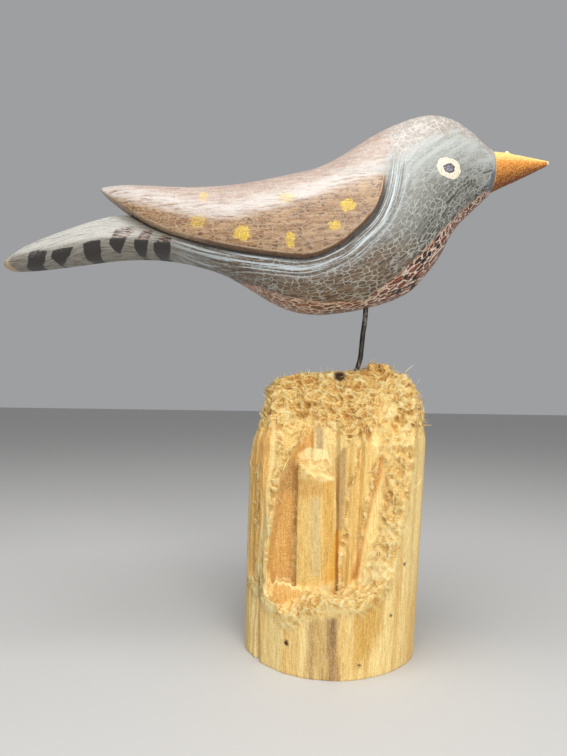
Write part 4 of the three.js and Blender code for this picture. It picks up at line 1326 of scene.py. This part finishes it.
# Single long fibres that stand clear of the wood: start, middle and end
LONG_FIBRES = [
    [(-33.5, -22, 61), (-28, -29.5, 61.8), (-22.6, -30, 61)],
    [(-33.6, -20, 80.5), (-35, -27, 77.5), (-31.5, -29, 75.2)],
    [(-17.6, -24.5, 89.5), (-14, -27, 92.4), (-10.3, -26, 92.6)],
    [(-17.5, -23, 81.6), (-20.2, -27, 78.8), (-20.6, -27, 74.4)],
    [(20.5, -23, 74), (20.2, -28, 70.6), (25, -29, 70.2)],
    [(27.5, -23.5, 68.2), (31.6, -28, 70.8), (33.4, -26, 74.2)],
    [(13.2, -22.4, 75), (16.2, -26.5, 76.6), (17.4, -26, 80.6)],
    [(6.4, -21.5, 71), (7, -25.5, 74.5), (9.6, -25, 77)],
    [(-13.4, -24, 109), (-10.6, -30, 106.4), (-12.8, -30.5, 103.4)],
    [(26.6, -16, 99.6), (29.8, -23, 98.6), (32.6, -21, 96.6)],
    [(-26.5, -20, 103), (-20, -28.5, 106), (-15.5, -28, 109.6)],
]


def fibre_lines(points, quads, fuzz, random):
    """Centre lines, thickness directions and widths of fibres scattered where the wood is torn."""
    corners = points[quads]
    normal = np.cross(corners[:, 2] - corners[:, 0], corners[:, 3] - corners[:, 1])
    area = np.maximum(np.linalg.norm(normal, axis=1), TINY)
    normal = normal / area[:, None]
    centre = corners.mean(1)
    if (centre * normal).sum() < 0:
        normal = -normal
    clear = knot_distance(*centre.T) > KNOT["radius"] + 1
    chance = area * fuzz[quads].mean(1) ** 2 * (centre[:, 2] > FIBRES_LOWEST) * clear
    picked = random.choice(len(quads), FIBRE_COUNT, p=chance / chance.sum())
    root, up = centre[picked], normal[picked]
    any_way = random.normal(size=(FIBRE_COUNT, 3))
    lie = any_way - (any_way * up).sum(1)[:, None] * up
    lie /= np.linalg.norm(lie, axis=1)[:, None]
    length = random.gamma(*FIBRE_LENGTHS, FIBRE_COUNT)[:, None] + SHORTEST_FIBRE
    lift = random.uniform(*FIBRE_LIFTS, FIBRE_COUNT)[:, None]
    curl = random.normal(0, FIBRE_CURL, (FIBRE_COUNT, 3))
    t = FIBRE_STEPS
    line = root - FIBRE_ROOT * up + length * (t * (lie + lift * up) + t * t * (curl - FIBRE_DROOP * up))
    return line, up, random.uniform(*FIBRE_WIDTHS, FIBRE_COUNT)


def front_of(points, x, z):
    """How far forward the wood reaches at a place in side view."""
    near = np.hypot(points[:, 0] - x, points[:, 2] - z) < ROOT_REACH
    return points[near, 1].min()


def long_fibre_lines(points):
    """Centre lines of the long fibres, moved to start just inside the wood."""
    fibres = np.array(LONG_FIBRES, float)
    for fibre in fibres:
        fibre[:, 1] += front_of(points, fibre[0, 0], fibre[0, 2]) + ROOT_DEPTH - fibre[0, 1]
    start, middle, end = fibres.transpose(1, 0, 2)[:, None]
    t = FIBRE_STEPS
    return start * (1 - t) ** 2 + middle * 2 * t * (1 - t) + end * t * t


def tapers(line, up, width):
    """One shape of many thin tapered tubes."""
    side = np.cross(line[1] - line[0], up)
    side /= np.maximum(np.linalg.norm(side, axis=1), TINY)[:, None]
    radius = (np.array(FIBRE_TAPER)[:, None] * width)[..., None]
    angle = np.arange(FIBRE_SIDES) * 2 * math.pi / FIBRE_SIDES
    rings = [line + radius * (np.cos(a) * side + 0.5 * np.sin(a) * up) for a in angle]
    tubes = [loft(tube) for tube in np.stack(rings, 2).transpose(1, 0, 2, 3)]
    points, triangles, quads = (np.stack(part) for part in zip(*tubes))
    shift = np.arange(len(tubes))[:, None, None] * points.shape[1]
    return points.reshape(-1, 3), (triangles + shift).reshape(-1, 3), (quads + shift).reshape(-1, 4)


def fibre_piece(shape, fuzz):
    """Loose ends of wood fibre, each a thin curled taper rooted in the log."""
    points, _, quads = shape
    random = np.random.default_rng(FIBRE_SEED)
    line, up, width = fibre_lines(points, quads, fuzz, random)
    long_count = len(LONG_FIBRES)
    line = np.concatenate([line, long_fibre_lines(points)], axis=1)
    up = np.concatenate([up, np.tile([0.0, -1, 0], (long_count, 1))])
    width = np.concatenate([width, np.full(long_count, FIBRE_WIDTHS[1])])
    piece = new_object("torn_fibres", tapers(line, up, width), fibre_paint(), [])
    along = np.concatenate([np.repeat(FIBRE_STEPS.ravel(), FIBRE_SIDES), [0, 1]])
    tone = random.uniform(0, 0.75, len(width))[:, None] + 0.3 * along
    add_values(piece, tone=tone.ravel())


def fibre_paint():
    p = Paint("loose_fibre")
    place = p.place()
    tone = p.plus(p.values("tone"), p.minus(p.noise(place, 6, 3), 0.5))
    colour = p.mix(p.step(tone, 0.05, 0.6), (208, 148, 68), (240, 206, 128))
    colour = p.lay(colour, ((251, 238, 188), p.step(tone, 0.5, 1), 0.9))
    return p.finish(Base_Color=colour, Roughness=0.8, Normal=p.bump(p.noise(place, 0.3), 0.1))


# Where the beak's paint changes along x, and the wire's colour up z
BEAK_ROOT = (70, 69.7)
BEAK_POINT = (94.6, 95.6)
WIRE_RUBBED = (134, 139)
WIRE_DUSTY = (122.5, 119.5)


def beak_piece():
    x = np.linspace(HEAD_FRONT + GAP, BEAK_TIP, BEAK_RINGS)
    angle = np.linspace(0, 2 * math.pi, BEAK_SIDES, endpoint=False)[None, :]
    lines = (x, BEAK_TOP(x), BEAK_BOTTOM(x), BEAK_HALF_WIDTH(x))
    along, top, bottom, half_width = (line[:, None] for line in lines)
    half_height = (top - bottom) / 2
    right, up = (np.broadcast_to(v, (len(x), angle.size)) for v in (np.cos(angle), np.sin(angle)))
    around = (right * half_width / BEAK_LUMPS, up * half_height / BEAK_LUMPS)
    uneven = BEAK_UNEVEN * layered(along / BEAK_LUMPS, *around, 71)
    away = (along - BEAK_LUMP["x"]) ** 2 + (right * half_width) ** 2
    lump = np.exp(-away / BEAK_LUMP["radius"] ** 2) * (up > 0)
    grow = uneven * ramp(BEAK_TIP - along, 0.5, 3) + BEAK_LUMP["height"] * lump
    y = right * (half_width + uneven)
    z = (top + bottom) / 2 + up * (half_height + grow)
    shape = loft(np.stack([np.broadcast_to(along, y.shape), y, z], -1))
    piece = new_object("beak_peg", shape, beak_paint(), ["beak"])
    x, _, z = shape[0].T
    add_values(piece, raised=(z - BEAK_BOTTOM(x)) / (BEAK_TOP(x) - BEAK_BOTTOM(x)))


def beak_paint():
    """Burnt orange below and pale orange above, dabbed on roughly; the change from dark below to pale above is
    partly the paint and partly painted light and shade.
    """
    p = Paint("beak_paint")
    place = p.place()
    along, raised = p.part(place, "X"), p.values("raised")
    dabs = p.noise(place, (1.6, 1.2, 0.9), 4, 0.7, warp=(2, 1))
    speckle = p.noise(place, (0.5, 0.5, 0.4), 3, 0.7)
    share = p.plus(raised, p.times(dabs, 0.6))
    colour = p.lay(
        # Dark below and pale above: partly the paint and partly painted light and shade
        p.mix(p.step(share, 0.3, 0.75), (124, 58, 10), (222, 142, 44)),
        ((248, 204, 124), p.step(share, 0.8, 1.15), 0.9),
        ((104, 50, 12), p.step(speckle, 0.47, 0.57), p.step(share, 1.15, 0.5), 0.85),
        ((250, 206, 120), p.step(speckle, 0.46, 0.34), 0.5),
        ((206, 168, 118), p.step(along, *BEAK_ROOT), 0.8),
        ((244, 232, 210), p.step(along, *BEAK_POINT), 0.8),
        ((236, 226, 214), p.step(raised, 1.03, 1.07)),
    )
    bump = p.bump(p.plus(dabs, speckle), 0.25)
    return p.finish(Base_Color=colour, Roughness=0.62, Normal=bump, Coat_Weight=0.1, Coat_Roughness=0.4)


def wire_piece():
    line = rounded_line(WIRE_LINE, 14)
    angle = np.linspace(0, 2 * math.pi, WIRE_SIDES, endpoint=False)
    forward = np.gradient(line, axis=0)
    forward /= np.hypot(*forward.T)[:, None]
    x, z, ahead, up = (v[:, None] for v in (*line.T, *forward.T))
    uneven = layered(np.cos(angle) * 1.3, np.sin(angle) * 1.3, z / 1.6, 81)
    radius = WIRE_RADIUS * (1 + WIRE_UNEVEN * uneven)
    rings = [x + radius * np.cos(angle) * up, radius * np.sin(angle), z + radius * np.cos(angle) * -ahead]
    new_object("bent_wire", loft(np.stack(rings, -1)), wire_paint(), ["wire_leg"])


def wire_paint():
    """Dull brown-black iron, rubbed paler near the bird and dusty at its foot."""
    p = Paint("dark_wire")
    place = p.place()
    height = p.part(place, "Z")
    worn = p.noise(place, (1.2, 1.2, 2.6), 4, 0.7)
    colour = p.lay(
        p.mix(p.step(worn, 0.36, 0.64), (22, 18, 16), (62, 53, 46)),
        ((132, 122, 110), p.step(height, *WIRE_RUBBED), p.step(worn, 0.44, 0.6), 0.7),
        ((176, 160, 138), p.step(height, *WIRE_DUSTY), p.step(worn, 0.45, 0.6), 0.6),
    )
    rough = p.node("MapRange", {"Value": worn, "To Min": 0.4, "To Max": 0.75})
    return p.finish(Base_Color=colour, Roughness=rough, Metallic=0.35, Normal=p.bump(worn, 0.12))


# Camera, floor and light. The camera is the photograph's, worked out from the object's outline.
PHOTO = {"width": 567, "height": 756, "focal": 568}
CAMERA_PLACE = (-20.75, -250, 104.9)
CAMERA_PITCH = 1.95
CAMERA_ROLL = 0.8
SENSOR = 36
CLIP_START = 0.01
FLOOR_REACH = 4
FLOOR_COLOUR = (196, 195, 192)
WORLD_COLOUR = (226, 227, 230)
WORLD_STRENGTH = 0.45
LIGHTS_AIM = (0, 0, 130)


def moved_to(place):
    return Matrix.Translation([v * MM for v in place])


def add_camera():
    data = bpy.data.cameras.new("camera")
    data.sensor_width = SENSOR
    data.lens = PHOTO["focal"] / PHOTO["height"] * SENSOR
    data.clip_start = CLIP_START
    camera = add_object("camera", data)
    level = Euler((math.radians(90 + CAMERA_PITCH), 0, 0)).to_matrix().to_4x4()
    roll = Matrix.Rotation(math.radians(CAMERA_ROLL), 4, "Z")
    camera.matrix_world = moved_to(CAMERA_PLACE) @ level @ roll
    bpy.context.scene.camera = camera


def add_light(name, place, size, power):
    data = bpy.data.lights.new(name, "AREA")
    data.shape = "DISK"
    data.size = size * MM
    data.energy = power
    towards = Vector(LIGHTS_AIM) - Vector(place)
    turned = towards.to_track_quat("-Z", "Y").to_matrix().to_4x4()
    add_object(name, data).matrix_world = moved_to(place) @ turned


def add_stage():
    mesh = bpy.data.meshes.new("floor")
    corners = [(x * FLOOR_REACH, y * FLOOR_REACH, 0) for x, y in ((-1, -1), (1, -1), (1, 1), (-1, 1))]
    mesh.from_pydata(corners, [], [(0, 1, 2, 3)])
    mesh.materials.append(Paint("floor").finish(Base_Color=FLOOR_COLOUR, Roughness=0.7))
    floor = add_object("floor", mesh)
    world = bpy.data.worlds.new("studio")
    world.use_nodes = True
    background = world.node_tree.nodes["Background"]
    background.inputs["Color"].default_value = linear(*WORLD_COLOUR)
    background.inputs["Strength"].default_value = WORLD_STRENGTH
    bpy.context.scene.world = world
    bpy.context.scene.view_settings.view_transform = "Standard"


add_camera()
add_stage()
add_light("overhead", place=(-60, -160, 700), size=420, power=3.3)
add_light("front", place=(160, -620, 330), size=460, power=3.5)
bird_piece()
beak_piece()
wire_piece()
log_piece()


def corners(box):
    return [list(map(float, corner)) for corner in box]


bpy.context.view_layer.update()
